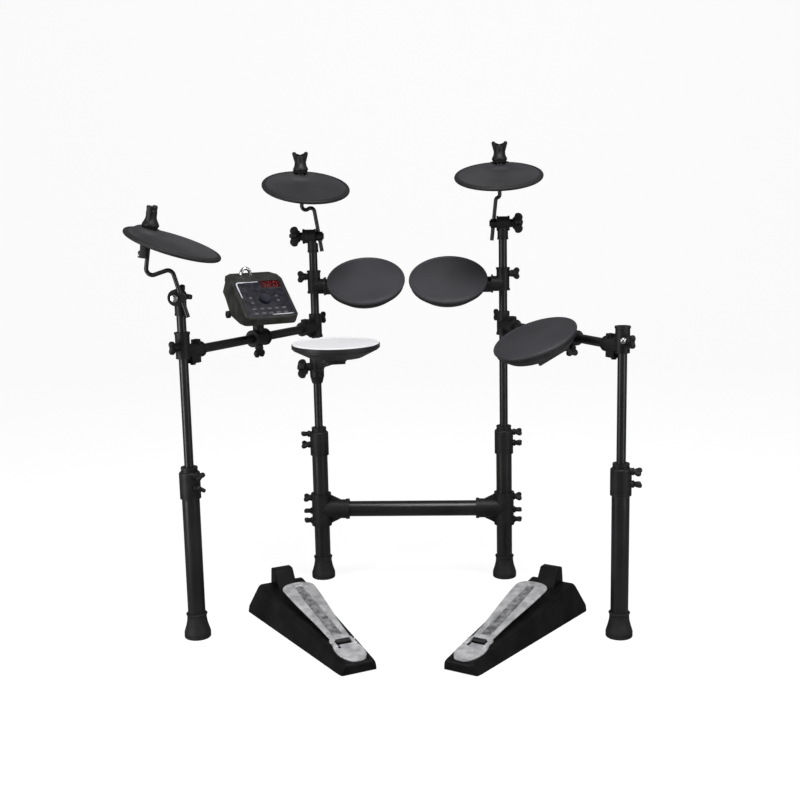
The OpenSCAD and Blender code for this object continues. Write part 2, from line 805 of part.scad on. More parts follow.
module snare_bowl() {
    r = snare_d / 2;
    up = snare_shell_h + 8;
    color(black) {
        rotate([0, 0, -snare_heading]) translate([0, 0, 8]) difference() {
            union() {
                cylinder(r1 = r * 0.62, r2 = r - 2, h = snare_shell_h - 11);
                translate([0, 0, snare_shell_h - 11]) cylinder(r = r - 2, h = 11);
            }
            translate([0, 0, -1]) cylinder(r = r * 0.62 - 10, h = 6);
        }
        // Yoke ears on both sides of the rod's end
        for (s = [-1, 1]) difference() {
            union() {
                translate([-11, s * 18 - 3.5, 0]) cube([22, 7, up - 15]);
                translate([0, s * 18 - 3.5, 0]) rotate([-90, 0, 0]) cylinder(r = 11, h = 7);
            }
            rotate([90, 0, 0]) cylinder(r = 4 + fit, h = 60, center = true);
        }
        rotate([90, 0, 0]) cylinder(r = 4, h = 50, center = true);
    }
}

module snare_skin() {
    r = snare_d / 2;
    color(head_white) translate([0, 0, snare_shell_h + 8]) {
        cylinder(r = r - 9, h = snare_head_h);
        difference() {
            cylinder(r = r, h = snare_head_h - 1);
            translate([0, 0, -1]) cylinder(r = r - 9, h = snare_head_h);
        }
    }
}

// ---------- sound module ----------

// Module: z up, the panel faces -Y, the origin on the tilt bolt
module_turn = 30;
panel_head = [-4, 106];
panel_foot = [105, 19];
panel_slope = atan2(panel_head[1] - panel_foot[1], panel_foot[0] - panel_head[0]);
panel_len = norm(panel_head - panel_foot);
pocket = 2;
key_w = 13;
key_h = 8;
key_step = 19;
keys_wide = 5 * key_step + 4;
keys_deep = 36;
keys_y = 8;
dial_d = 30;
dial_at = [-1, 63];
display_size = [52, 27];
display_at = [3, 102];
yoke_r = 11;
yoke_w = 30;

module at_module() {
    along_arm(left) translate([module_at, 0, module_lift])
        rotate([0, 0, module_turn - arm_heading(left)]) children();
}

// Places things on the sloping panel: x to the right, y up the slope, z out of the panel
module on_panel() {
    translate([0, -panel_foot[0], panel_foot[1]]) rotate([panel_slope, 0, 0]) children();
}

module case_body() {
    half = module_w / 2;
    color(plastic) {
        difference() {
            intersection() {
                // Side outline: x toward the drummer, y up
                rotate([90, 0, -90]) translate([0, 0, -half]) linear_extrude(module_w) polygon([
                    [-46, 117], panel_head, panel_foot, panel_foot - [14, 19], [56, 2],
                    [-10, 16], [-40, 48], [-90, 80], [-84, 96]
                ]);
                // Bevelled corners, seen square to the panel
                on_panel() translate([0, 0, -160]) linear_extrude(200) polygon([
                    [-half, 0], [-half + 14, -12], [-half + 14, -60], [half - 14, -60],
                    [half - 14, -12], [half, 0], [half, panel_len + 22], [half - 16, panel_len + 45],
                    [half - 16, panel_len + 100], [-half + 16, panel_len + 100],
                    [-half + 16, panel_len + 45], [-half, panel_len + 22]
                ]);
            }
            on_panel() {
                translate([-half + 7, 7, -pocket]) cube([module_w - 14, panel_len - 12, 10]);
                translate([-keys_wide / 2, keys_y, -pocket - 3]) cube([keys_wide, keys_deep, 10]);
                translate([display_at[0], display_at[1], -pocket - 3])
                    cube([display_size[0], display_size[1], 10]);
                translate([dial_at[0], dial_at[1], -pocket - 6]) cylinder(d = dial_d + 2, h = 20);
            }
            // Jack sockets in the sloping underside
            for (x = [-45, -25, 25, 45]) translate([x, 62, 66]) rotate([50, 0, 0])
                translate([0, 0, -18]) cylinder(d = 6.5, h = 60, center = true);
        }
        // Spindle of the dial
        on_panel() translate([dial_at[0], dial_at[1], -pocket - 7]) cylinder(d = 6, h = 9);
        // Ears on the tilt bolt
        for (s = [-1, 1]) difference() {
            translate([s * (yoke_w / 2 + gap + 3) - 3, 0, 0]) union() {
                along_x() cylinder(r = yoke_r, h = 6);
                translate([0, -yoke_r, 0]) cube([6, 2 * yoke_r, 19]);
            }
            along_x() cylinder(d = bolt_d + 2 * fit, h = 80, center = true);
        }
    }
}

module dial() {
    color(plastic) on_panel() translate([dial_at[0], dial_at[1], -pocket - 6 + gap]) difference() {
        union() {
            cylinder(d = dial_d, h = 12);
            translate([0, 0, 12]) cylinder(d1 = dial_d, d2 = dial_d - 3, h = 2);
        }
        translate([0, 0, -1]) cylinder(d = 6 + 2 * fit, h = 9.5);
        // Finger dimple and grip notches
        translate([0, dial_d / 2 - 8, 13]) cylinder(d = 8, h = 4);
        for (a = [0 : 20 : 340]) rotate([0, 0, a]) translate([dial_d / 2 + 0.6, 0, 4])
            cylinder(d = 3, h = 12);
    }
}

module keys() {
    color(rubber) on_panel() translate([0, keys_y, -pocket - 3]) {
        translate([-keys_wide / 2 + 0.2, 0.2, 0]) cube([keys_wide - 0.4, keys_deep - 0.4, 3]);
        for (i = [-2 : 2], row = [0, 1]) translate([i * key_step - key_w / 2, 5 + row * 17, 3])
            cube([key_w, key_h, 3.2]);
    }
}

module display() {
    color(glass) on_panel() translate([display_at[0] + 0.2, display_at[1] + 0.2, -pocket - 3])
        cube([display_size[0] - 0.4, display_size[1] - 0.4, 3.6]);
}

module module_clamp_parts() {
    r = clamp_d / 2 + 3;
    color(plastic) along_arm(left) translate([module_at, 0, 0]) {
        difference() {
            union() {
                translate([-26, 0, 0]) along_x() cylinder(r = r, h = 52);
                for (x = [-26, 21]) translate([x, 0, 0]) along_x() cylinder(r = r + 1.5, h = 5);
                cylinder(r = 14, h = module_lift);
                translate([0, 0, -r - 8]) cylinder(d = 20, h = r);
            }
            translate([-30, 0, 0]) along_x() cylinder(r = post_r + fit, h = 60);
            translate([0, 0, module_lift]) rotate([0, 0, module_turn - arm_heading(left)])
                along_x() cylinder(d = bolt_d + 2 * fit, h = 80, center = true);
            // Room for the ears beside the barrel
            translate([0, 0, module_lift]) rotate([0, 0, module_turn - arm_heading(left)])
                for (s = [-1, 1]) translate([s * (yoke_w / 2 + 20), 0, 0]) cube([40, 60, 30], center = true);
        }
    }
    color(plastic) at_module() difference() {
        union() {
            along_x() cylinder(r = yoke_r, h = yoke_w, center = true);
        }
        along_x() cylinder(d = bolt_d + 2 * fit, h = 80, center = true);
    }
    color(black) {
        at_module() {
            along_x() cylinder(d = bolt_d, h = yoke_w + 2 * gap + 14, center = true);
            for (s = [-1, 1]) translate([s * (yoke_w / 2 + gap + 6 + gap + 1.5), 0, 0])
                along_x() cylinder(d = 15, h = 3, center = true, $fn = 6);
        }
        along_arm(left) translate([module_at, 0, -r - 8]) mirror([0, 0, 1]) wing_screw(14, 15);
    }
}

// ---------- pedals ----------

pedal_x = 361;
pedal_y = 221;
pedal_turn = 29.4;
pedal_shift = 17;
draft = 18;
hinge_pin_d = 6;
hinge_above = 6;
board_t = 5;
board_len = 290;
plate_t = 3;
tower_w = 50;
cup_at = 175;
cup_d = 24;
top_fall = atan2(pedal_rear_h - pedal_front_h, pedal_len);

function base_top(p) = pedal_rear_h - (pedal_rear_h - pedal_front_h) * p / pedal_len;
hinge_z = base_top(pedal_hinge_at) + hinge_above;

// At a pedal's toe end on the floor, +X runs toward the drummer
module at_pedal(side) {
    translate([kit_x + pedal_shift + side * pedal_x, kit_y + pedal_y, 0])
        rotate([0, 0, -90 - side * pedal_turn]) children();
}

// Everything inward of the base's leaning side wall
module pedal_side(taper) {
    translate([0, pedal_rear_w / 2 - 0.5, 0]) rotate([0, 0, -taper]) rotate([draft, 0, 0])
        translate([-50, -400, -200]) cube([pedal_len + 100, 400, 500]);
}

module pedal_base() {
    taper = atan2((pedal_rear_w - pedal_front_w) / 2, pedal_len);
    pin_r = hinge_pin_d / 2;
    corner = 16;
    color(black) difference() {
        union() {
            intersection() {
                // Side outline with a rounded nose
                rotate([90, 0, 0]) translate([0, 0, -200]) linear_extrude(400) rounded([
                    [8, 8], [pedal_len - 8, 8], [pedal_len - 8, pedal_front_h - 8],
                    [32, pedal_rear_h - 8 - 3]
                ], 8);
                // Plan outline with rounded heel corners
                linear_extrude(200) rounded([
                    [corner, corner - pedal_rear_w / 2], [pedal_len - corner, corner - pedal_front_w / 2],
                    [pedal_len - corner, pedal_front_w / 2 - corner], [corner, pedal_rear_w / 2 - corner]
                ], corner);
                pedal_side(taper);
                mirror([0, 1, 0]) pedal_side(taper);
            }
            // Block that holds the sensor behind the footboard's toe
            rotate([90, 0, 0]) translate([0, 0, -tower_w / 2]) linear_extrude(tower_w) rounded([
                [22, 60], [30, pedal_rear_h + 30], [46, pedal_rear_h + 30], [84, base_top(84) - 5]
            ], 4);
            // Hinge cheeks
            for (s = [-1, 1]) translate([pedal_hinge_at, s * 22, 0]) rotate([90, 0, 0])
                translate([0, 0, -4]) linear_extrude(8) {
                    translate([0, hinge_z]) circle(6);
                    translate([-6, hinge_z - 12]) square([12, 12]);
                }
        }
        // Cup for the return spring, and a trough under the board
        translate([cup_at, 0, base_top(cup_at) - 34]) cylinder(d = cup_d, h = 60);
        translate([110, 0, base_top(110)]) rotate([0, top_fall, 0])
            translate([0, -24, -8]) cube([240, 48, 20]);
        // Finger grip and jack socket in the toe end
        translate([-10, 40, 22]) along_x() cylinder(d = 6.5, h = 40);
        // Recesses for the floor strips
        for (p = [40, pedal_len - 75]) translate([p, -26, -1]) cube([35, 52, 3]);
        at_hinge() cylinder(r = pin_r + fit, h = 80, center = true);
        // Room for the board's knuckle
        at_hinge() cylinder(r = 8, h = 35, center = true);
    }
    color(silver) at_hinge() cylinder(r = pin_r, h = 54, center = true);
    color(rubber) for (p = [40, pedal_len - 75]) translate([p, -26, 0]) cube([35, 52, 2]);
}

// On the footboard's hinge, +Z across the pedal
module at_hinge() {
    translate([pedal_hinge_at, 0, hinge_z]) rotate([90, 0, 0]) children();
}

// Half width of the heel plate, at `t` from 0 at the hinge to 1 at the heel
function heel_half(t) = 29 + 6.5 * sin(180 * min(1, t * 1.15)) - 6 * t;

// Half width of the footboard, at `t` from 0 at the hinge to 1 at the toe
function board_half(t) = 25 + 17 * pow(sin(90 * t), 2);

module heel_plate() {
    length = pedal_len - pedal_hinge_at - 14;
    steps = 16;
    heel_r = 34;
    outline = [for (i = [0 : steps]) [10 + length * i / steps, heel_half(i / steps)]];
    color(silver) translate([pedal_hinge_at, 0, base_top(pedal_hinge_at)]) rotate([0, top_fall, 0]) {
        difference() {
            linear_extrude(plate_t) intersection() {
                polygon(concat(outline, [for (i = [steps : -1 : 0]) [outline[i][0], -outline[i][1]]]));
                union() {
                    translate([10 + length - heel_r, 0]) circle(heel_r);
                    translate([0, -heel_r - 8]) square([10 + length - heel_r, 2 * heel_r + 16]);
                }
            }
            for (i = [0 : 3]) translate([32 + i * 12, -18, plate_t - 1]) cube([4, 36, 2]);
        }
    }
}

module footboard() {
    steps = 28;
    outline = [for (i = [0 : steps]) [-12 - (board_len - 12) * i / steps, board_half(i / steps)]];
    color(silver) translate([pedal_hinge_at, 0, hinge_z]) {
        rotate([0, board_slope, 0]) difference() {
            union() {
                translate([0, 0, -board_t / 2]) linear_extrude(board_t) intersection() {
                    polygon(concat(outline, [for (i = [steps : -1 : 0]) [outline[i][0], -outline[i][1]]]));
                    union() {
                        translate([-board_len + 62, 0]) circle(62);
                        translate([-board_len + 50, -60]) square([board_len, 120]);
                    }
                }
                // Raised rim down both sides
                translate([0, 0, board_t / 2]) linear_extrude(3) difference() {
                    board_field(0);
                    board_field(5);
                }
                // Grip ribs on the tread
                for (i = [0 : 8]) translate([-60 - i * 22, -rib_half(i), board_t / 2 - 0.5])
                    cube([6, 2 * rib_half(i), 2.5]);
                translate([-20, -17, -board_t / 2]) cube([20, 34, board_t]);
            }
            translate([0, 0, 0]) rotate([90, 0, 0]) cylinder(r = 4, h = 80, center = true);
        }
        // Knuckle on the hinge pin
        difference() {
            rotate([90, 0, 0]) cylinder(r = 6.5, h = 34, center = true);
            rotate([90, 0, 0]) cylinder(r = hinge_pin_d / 2 + fit, h = 80, center = true);
        }
        // Plunger that presses the spring in the cup
        rotate([0, board_slope, 0]) translate([(cup_at - pedal_hinge_at) / cos(board_slope), 0, 0])
            rotate([0, -board_slope, 0]) translate([0, 0, -40]) cylinder(d = 12, h = 39);
    }
}

function rib_half(i) = board_half((48 + i * 22) / board_len) - 9;

// The tread's outline, drawn in from its edge by `inset`
module board_field(inset) {
    steps = 28;
    span = board_len - 40;
    outline = [for (i = [0 : steps]) [-26 - inset - (span - 26 - 2 * inset) * i / steps,
                                      board_half((26 + (span - 26) * i / steps) / board_len) - 2 - inset]];
    polygon(concat(outline, [for (i = [steps : -1 : 0]) [outline[i][0], -outline[i][1]]]));
}

// ---------- the kit ----------

at_rear(left) leg();  // rear_left_leg
at_rear(right) leg();  // rear_right_leg
crossbar_tube();  // crossbar
at_rear(left) tee();  // left_tee
at_rear(right) mirror([1, 0, 0]) tee();  // right_tee
at_rear(left) foot();  // rear_left_foot
at_rear(right) foot();  // rear_right_foot
at_rear(left) rotate([0, 0, 180]) collar();  // rear_left_collar
at_rear(right) collar();  // rear_right_collar
at_rear(left) post(clamp_post_top(crash_bolt_h));  // rear_left_post
at_rear(right) post(clamp_post_top(ride_bolt_h));  // rear_right_post

along_arm(left) arm_tube();  // left_arm
along_arm(left) swing_clamp();  // left_swing_clamp
along_arm(left) at_arm_end() arm_clamp();  // left_arm_clamp
at_front(left) post(clamp_post_top(hihat_bolt_h));  // front_left_post
at_front(left) leg();  // front_left_leg
at_front(left) foot();  // front_left_foot
at_front(left) rotate([0, 0, -40]) collar();  // front_left_collar

along_arm(right) arm_tube();  // right_arm
along_arm(right) swing_clamp();  // right_swing_clamp
along_arm(right) at_arm_end() arm_clamp();  // right_arm_clamp
at_front(right) capped_post(end_post_top);  // front_right_post
at_front(right) leg();  // front_right_leg
at_front(right) foot();  // front_right_foot
at_front(right) rotate([0, 0, -20]) collar();  // front_right_collar

hihat_place() translate([0, 0, hihat_bolt_h]) rotate([0, 0, -90])  // hihat_clamp
        cymbal_clamp(hihat_eye, hihat_half, hihat_bolt_x);
hihat_place() hihat_rod_parts();  // hihat_rod
hihat_place() on_ball(hihat_ball, hihat_h, hihat_turn)  // hihat_pad
        cymbal_disc(hihat_droop, cymbal_offset + hihat_extra);
hihat_place() on_ball(hihat_ball, hihat_h, 0) rotate([0, hihat_shape[6], 0]) rotate(hihat_turn)  // hihat_nut
        cymbal_nut();

crash_place() translate([0, 0, crash_bolt_h]) cymbal_clamp(crash_eye, eye_half(crash_shape[0]));  // crash_clamp
crash_place() rod_with_eye(crash_shape, crash_h, crash_bolt_h, crash_eye);  // crash_rod
crash_place() on_ball(ball_at(crash_shape, crash_eye), crash_h, crash_turn) cymbal_disc(crash_droop);  // crash_pad
crash_place() on_ball(ball_at(crash_shape, crash_eye), crash_h, 0) cymbal_nut();  // crash_nut

ride_place() translate([0, 0, ride_bolt_h]) cymbal_clamp(ride_eye, eye_half(ride_shape[0]));  // ride_clamp
ride_place() rod_with_eye(ride_shape, ride_h, ride_bolt_h, ride_eye);  // ride_rod
ride_place() on_ball(ball_at(ride_shape, ride_eye), ride_h, -ride_turn) cymbal_disc(ride_droop);  // ride_pad
ride_place() on_ball(ball_at(ride_shape, ride_eye), ride_h, 0) cymbal_nut();  // ride_nut

at_left_tom() tom_clamp();  // left_tom_clamp
at_left_tom() tom_shell(left_tom_reach, tom_tilt, rear_tom_under);  // left_tom_shell
at_left_tom() tom_skin(left_tom_reach, tom_tilt, rear_tom_under);  // left_tom_pad
at_right_tom() tom_clamp();  // right_tom_clamp
at_right_tom() tom_shell(right_tom_reach, tom_tilt, rear_tom_under);  // right_tom_shell
at_right_tom() tom_skin(right_tom_reach, tom_tilt, rear_tom_under);  // right_tom_pad

at_floor_tom() floor_clamp();  // floor_tom_clamp
at_floor_tom() floor_slope() tom_shell(floor_tom_reach, floor_tom_tilt, floor_tom_under);  // floor_tom_shell
at_floor_tom() floor_slope() tom_skin(floor_tom_reach, floor_tom_tilt, floor_tom_under);  // floor_tom_pad

at_rear(left) snare_clamp_parts();  // snare_clamp
at_snare() snare_bowl();  // snare_shell
at_snare() snare_skin();  // snare_head

module_clamp_parts();  // module_clamp
at_module() case_body();  // module_case
at_module() dial();  // module_dial
at_module() keys();  // module_keys
at_module() display();  // module_display

at_pedal(left) pedal_base();  // left_pedal_base
at_pedal(left) heel_plate();  // left_pedal_heel
at_pedal(left) footboard();  // left_pedal_board
at_pedal(right) pedal_base();  // right_pedal_base
at_pedal(right) heel_plate();  // right_pedal_heel
at_pedal(right) footboard();  // right_pedal_board
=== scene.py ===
import json
import bmesh
import bpy
import numpy as np
from mathutils import Matrix, Vector


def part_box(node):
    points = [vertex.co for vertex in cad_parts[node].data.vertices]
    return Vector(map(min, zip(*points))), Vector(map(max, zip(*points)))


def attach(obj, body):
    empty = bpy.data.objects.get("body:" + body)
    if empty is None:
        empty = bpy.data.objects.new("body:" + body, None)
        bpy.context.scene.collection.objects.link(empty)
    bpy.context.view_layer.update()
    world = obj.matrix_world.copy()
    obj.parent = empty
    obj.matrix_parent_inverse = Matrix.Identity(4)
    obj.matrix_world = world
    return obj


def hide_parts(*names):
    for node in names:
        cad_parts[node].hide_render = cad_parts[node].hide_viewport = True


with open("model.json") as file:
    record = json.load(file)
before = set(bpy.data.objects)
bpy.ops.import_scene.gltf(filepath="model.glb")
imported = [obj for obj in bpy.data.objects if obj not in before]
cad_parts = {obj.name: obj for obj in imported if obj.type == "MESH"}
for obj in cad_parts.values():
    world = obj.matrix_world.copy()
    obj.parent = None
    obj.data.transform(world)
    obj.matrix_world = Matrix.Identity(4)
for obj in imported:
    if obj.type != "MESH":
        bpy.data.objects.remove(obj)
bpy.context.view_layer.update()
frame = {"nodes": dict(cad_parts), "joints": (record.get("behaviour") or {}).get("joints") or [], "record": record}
scene = bpy.context.scene
nodes = frame["nodes"]
joints = {joint["name"]: joint for joint in frame["joints"]}
joint_at = {name: Vector(joint["pos_m"]) for name, joint in joints.items() if "pos_m" in joint}
body_of_node = {n: b for b, ns in frame["record"]["behaviour"]["bodies"].items() for n in ns}
upward = Vector((0, 0, 1))

# The paper shows as plain white to the camera, with only a trace of shadow behind the crossbar.


def set_inputs(tree, node, inputs):
    """Gives each named input of a node its value, or the output that feeds it."""
    for label, value in inputs.items():
        if isinstance(value, bpy.types.NodeSocket):
            tree.links.new(value, node.inputs[label])
        else:
            node.inputs[label].default_value = value
    return node


def add_node(tree, kind, inputs, **settings):
    """A new shader node with its settings and its inputs."""
    node = tree.nodes.new("ShaderNode" + kind)
    for key, value in settings.items():
        setattr(node, key, value)
    return set_inputs(tree, node, inputs)


# The camera sees the paper mostly by its own glow and a little by its lit face, which can take shadow.
# A glossy surface reflects only a dim glow of it.
glow_seen, glow_to_camera, glow_to_gloss = 0.8, 1.12, 0.20
paper = bpy.data.materials.new("studio_paper")
paper.use_nodes = True
tree = paper.node_tree
tree.nodes.clear()
ray = add_node(tree, "LightPath", {}).outputs
seen = add_node(tree, "Math", {0: ray["Is Camera Ray"], 1: glow_seen}, operation="MULTIPLY")
share = add_node(tree, "Math", {0: ray["Is Glossy Ray"], 1: seen.outputs[0]}, operation="ADD")
level = add_node(tree, "Math", {0: ray["Is Glossy Ray"], 1: glow_to_gloss - glow_to_camera,
                                2: glow_to_camera}, operation="MULTIPLY_ADD")
matt = add_node(tree, "BsdfDiffuse", {"Color": (0.93, 0.93, 0.93, 1)})
glow = add_node(tree, "Emission", {"Color": (1, 1, 1, 1), "Strength": level.outputs[0]})
mixed = add_node(tree, "MixShader", {"Fac": share.outputs[0], 1: matt.outputs[0], 2: glow.outputs[0]})
add_node(tree, "OutputMaterial", {"Surface": mixed.outputs[0]})


def grids_to_mesh(name, grids, close_rows=False, close_columns=True):
    """One mesh from grids of points [rows, columns, 3]. Each grid cell is a quad. A grid closed along a
    direction also joins its last line to its first, and then its seams and poles are merged."""
    points, quads, start = [], [], 0
    for grid in grids:
        rows, cols = grid.shape[:2]
        i, j = np.meshgrid(np.arange(rows if close_rows else rows - 1),
                           np.arange(cols if close_columns else cols - 1), indexing="ij")
        i_next, j_next = (i + 1) % rows, (j + 1) % cols
        cell = np.stack([i * cols + j, i_next * cols + j, i_next * cols + j_next, i * cols + j_next], -1)
        quads.append(cell.reshape(-1, 4) + start)
        points.append(grid.reshape(-1, 3))
        start += rows * cols
    points, quads = np.concatenate(points), np.concatenate(quads)
    mesh = bpy.data.meshes.new(name)
    mesh.vertices.add(len(points))
    mesh.vertices.foreach_set("co", points.astype(np.float32).ravel())
    mesh.loops.add(quads.size)
    mesh.loops.foreach_set("vertex_index", quads.astype(np.int32).ravel())
    mesh.polygons.add(len(quads))
    mesh.polygons.foreach_set("loop_start", np.arange(0, quads.size, 4, dtype=np.int32))
    mesh.update(calc_edges=True)
    if close_columns:
        shell = bmesh.new()
        shell.from_mesh(mesh)
        bmesh.ops.remove_doubles(shell, verts=shell.verts, dist=2e-6)
        bmesh.ops.dissolve_degenerate(shell, edges=shell.edges, dist=1e-7)
        bmesh.ops.recalc_face_normals(shell, faces=shell.faces)
        shell.to_mesh(mesh)
        shell.free()
    return mesh


def add_mesh(name, mesh, material, sharp=38):
    """Puts a mesh into the scene with its material, smooth except along edges sharper than `sharp`
    degrees."""
    piece = bpy.data.objects.new(name, mesh)
    scene.collection.objects.link(piece)
    mesh.materials.clear()
    mesh.materials.append(material)
    mesh.shade_smooth()
    mesh.set_sharp_from_angle(angle=np.radians(sharp))
    return piece


def path(*parts):
    """One line of points, joined from single points and runs of points."""
    return np.concatenate([np.atleast_2d(part) for part in parts])


def quarter(count):
    """Angles over a quarter turn."""
    return np.linspace(0, np.pi / 2, count)


def round_over(offset, radius):
    """Height of a circle over its own middle line, and 0 outside it."""
    return np.sqrt(np.clip(radius ** 2 - offset ** 2, 0, None))


def set_down(grid, place):
    """Carries a grid given in millimetres in a part's own axes to its place in metres."""
    turn = np.array(place.to_3x3())
    return (grid / 1000.0) @ turn.T + np.array(place.translation)


def add_piece(name, forms, material, body, replaces=(), sharp=38, ring=False):
    """A visible piece made of forms, each a grid and its place, and tied to its body. A ring's rows close
    too. `replaces` names the CAD nodes that it stands for."""
    mesh = grids_to_mesh(name, [set_down(grid, place) for grid, place in forms], close_rows=ring)
    piece = add_mesh(name, mesh, material, sharp)
    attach(piece, body)
    if replaces:
        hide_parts(*replaces)


# The sweep: flat on the floor, a quarter circle, then straight up
sweep_reach, sweep_back, sweep_height, sweep_bend = 9.0, 6.0, 7.0, 2.0
sweep_turn = quarter(13)
sweep_curve = np.stack([sweep_back - sweep_bend + sweep_bend * np.sin(sweep_turn),
                        sweep_bend - sweep_bend * np.cos(sweep_turn)], 1)
sweep_line = path([-sweep_reach, 0.0], sweep_curve, [sweep_back, sweep_height])
sweep_grid = np.stack([np.insert(sweep_line, 0, x, axis=1) for x in (-sweep_reach, 0.0, sweep_reach)], 1)
sweep = add_mesh("paper_sweep", grids_to_mesh("paper_sweep", [sweep_grid], close_columns=False), paper)

# The air around is white to the camera and gives a dim light from all sides
air_light, air_seen = 0.17, 1.0
world = bpy.data.worlds.new("studio_air")
scene.world = world
world.use_nodes = True
tree = world.node_tree
world_seen = add_node(tree, "LightPath", {}).outputs["Is Camera Ray"]
world_level = add_node(tree, "MapRange", {"Value": world_seen, "To Min": air_light, "To Max": air_seen})
set_inputs(tree, tree.nodes["Background"], {"Color": (1, 1, 1, 1),
                                            "Strength": world_level.outputs["Result"]})

for lamp_name, place, aim, wide, tall, power in (
        ("key_box", (0.3, -0.9, 3.3), (0.0, 0.1, 0.6), 1.5, 1.5, 72),
        ("right_box", (2.9, -2.0, 2.0), (0.0, 0.0, 0.6), 1.4, 1.4, 26),
        ("left_box", (-2.9, -2.2, 1.8), (0.0, 0.0, 0.6), 1.0, 1.0, 24),
        ("left_strip", (-1.45, -0.95, 0.62), (-0.45, -0.05, 0.62), 0.34, 1.2, 11),
        ("right_strip", (1.75, -1.25, 0.62), (0.5, 0.0, 0.62), 0.34, 1.2, 6)):
    lamp = bpy.data.lights.new(lamp_name, "AREA")
    lamp.shape = "RECTANGLE"
    lamp.size, lamp.size_y = wide, tall
    lamp.energy = power
    lamp_object = bpy.data.objects.new(lamp_name, lamp)
    lamp_object.location = place
    lamp_object.rotation_euler = (Vector(aim) - Vector(place)).to_track_quat("-Z", "Y").to_euler()
    scene.collection.objects.link(lamp_object)

# The camera stands 3 m in front, a little right of the middle, and looks down about 10 degrees
camera_data = bpy.data.cameras.new("camera")
camera_data.sensor_width = 36.0
camera_data.lens = 55.5
camera = bpy.data.objects.new("camera", camera_data)
camera.location = (0.18471, -2.96075, 1.10064)
camera.rotation_euler = np.radians((79.514, 1.183, 2.872))
scene.collection.objects.link(camera)
scene.camera = camera
scene.view_settings.view_transform = "Standard"

# ---------------------------------------------------------------- steel tubes
# Legs, posts, arms and crossbar are steel tube, powder-coated satin black. The coat has a very fine
# orange peel and drifts a little in tone. Each tube runs into its nylon clamps and is pinched there.

# Surface grain: the tone drifts between dark and light, the gloss varies, and a fine height feeds a bump
grain = bpy.data.node_groups.new("surface_grain", "ShaderNodeTree")
for way, kind, labels in (("INPUT", "Color", ("Dark", "Light")),
                          ("INPUT", "Float", ("Rough Low", "Rough High", "Grain Scale", "Cloud Scale")),
                          ("OUTPUT", "Color", ("Color",)), ("OUTPUT", "Float", ("Roughness", "Height"))):
    for label in labels:
        grain.interface.new_socket(name=label, in_out=way, socket_type="NodeSocket" + kind)
given = grain.nodes.new("NodeGroupInput").outputs
where = add_node(grain, "TexCoord", {}).outputs["Object"]
cloudy = add_node(grain, "TexNoise", {"Vector": where, "Scale": given["Cloud Scale"], "Detail": 4.0})
fine = add_node(grain, "TexNoise", {"Vector": where, "Scale": given["Grain Scale"], "Detail": 2.0})
spread = add_node(grain, "MapRange", {"Value": cloudy.outputs["Fac"], "From Min": 0.34, "From Max": 0.66})
tone = add_node(grain, "Mix", {"Factor": spread.outputs["Result"], "A": given["Dark"],
                               "B": given["Light"]}, data_type="RGBA")
gloss = add_node(grain, "MapRange", {"Value": fine.outputs["Fac"], "To Min": given["Rough Low"],
                                     "To Max": given["Rough High"]})
set_inputs(grain, grain.nodes.new("NodeGroupOutput"),
           {"Color": tone.outputs["Result"], "Roughness": gloss.outputs["Result"],
            "Height": fine.outputs["Fac"]})


def grained_finish(name, dark, light, rough, grain_scale, bump, cloud=14.0, metallic=0.0, coat=0.0,
                   shine=0.3):
    """A finish on the surface grain: two tones, a range of roughness, and a bump `bump` metres high."""
    material = bpy.data.materials.new(name)
    material.use_nodes = True
    tree = material.node_tree
    surface = add_node(tree, "Group", {"Dark": (*dark, 1), "Light": (*light, 1), "Rough Low": rough[0],
                                       "Rough High": rough[1], "Grain Scale": grain_scale,
                                       "Cloud Scale": cloud}, node_tree=grain).outputs
    relief = add_node(tree, "Bump", {"Height": surface["Height"], "Strength": 0.6, "Distance": bump})
    set_inputs(tree, tree.nodes["Principled BSDF"], {
        "Base Color": surface["Color"], "Roughness": surface["Roughness"],
        "Normal": relief.outputs["Normal"], "Metallic": metallic, "Specular IOR Level": shine,
        "Coat Weight": coat, "Coat Roughness": 0.2})
    return material


def refinish(material, *names):
    """Gives CAD nodes a real finish in place of their plain one."""
    for name in names:
        for place in nodes[name].material_slots:
            place.material = material


tube_coat = grained_finish("tube_powder_coat", (0.0045, 0.0045, 0.0048), (0.010, 0.010, 0.0105),
                           (0.26, 0.38), 1400.0, 0.00012, cloud=9.0, shine=0.5)
refinish(tube_coat, "rear_left_leg", "rear_right_leg", "front_left_leg", "front_right_leg", "crossbar",
         "rear_left_post", "rear_right_post", "front_left_post", "front_right_post",
         "left_arm", "right_arm", "hihat_rod", "crash_rod", "ride_rod")

# ---------------------------------------------------------------- moulded clamps and collars
# Tees, clamps and height collars are glass-filled nylon with a fine spark-eroded grain, pinched by
# wing screws whose nylon wings are moulded over steel bolts.

clamp_nylon = grained_finish("clamp_nylon", (0.005, 0.005, 0.0053), (0.012, 0.012, 0.0126),
                             (0.40, 0.56), 2200.0, 0.00018, cloud=22.0)
refinish(clamp_nylon, "left_tee", "right_tee", "rear_left_collar", "rear_right_collar",
         "front_left_collar", "front_right_collar", "left_swing_clamp", "right_swing_clamp",
         "left_arm_clamp", "right_arm_clamp", "hihat_clamp", "crash_clamp", "ride_clamp",
         "left_tom_clamp", "right_tom_clamp", "floor_tom_clamp", "snare_clamp", "module_clamp")


def smooth_step(t):
    """0 below 0, 1 above 1, and an easy S between."""
    t = np.clip(t, 0.0, 1.0)
    return t * t * (3 - 2 * t)


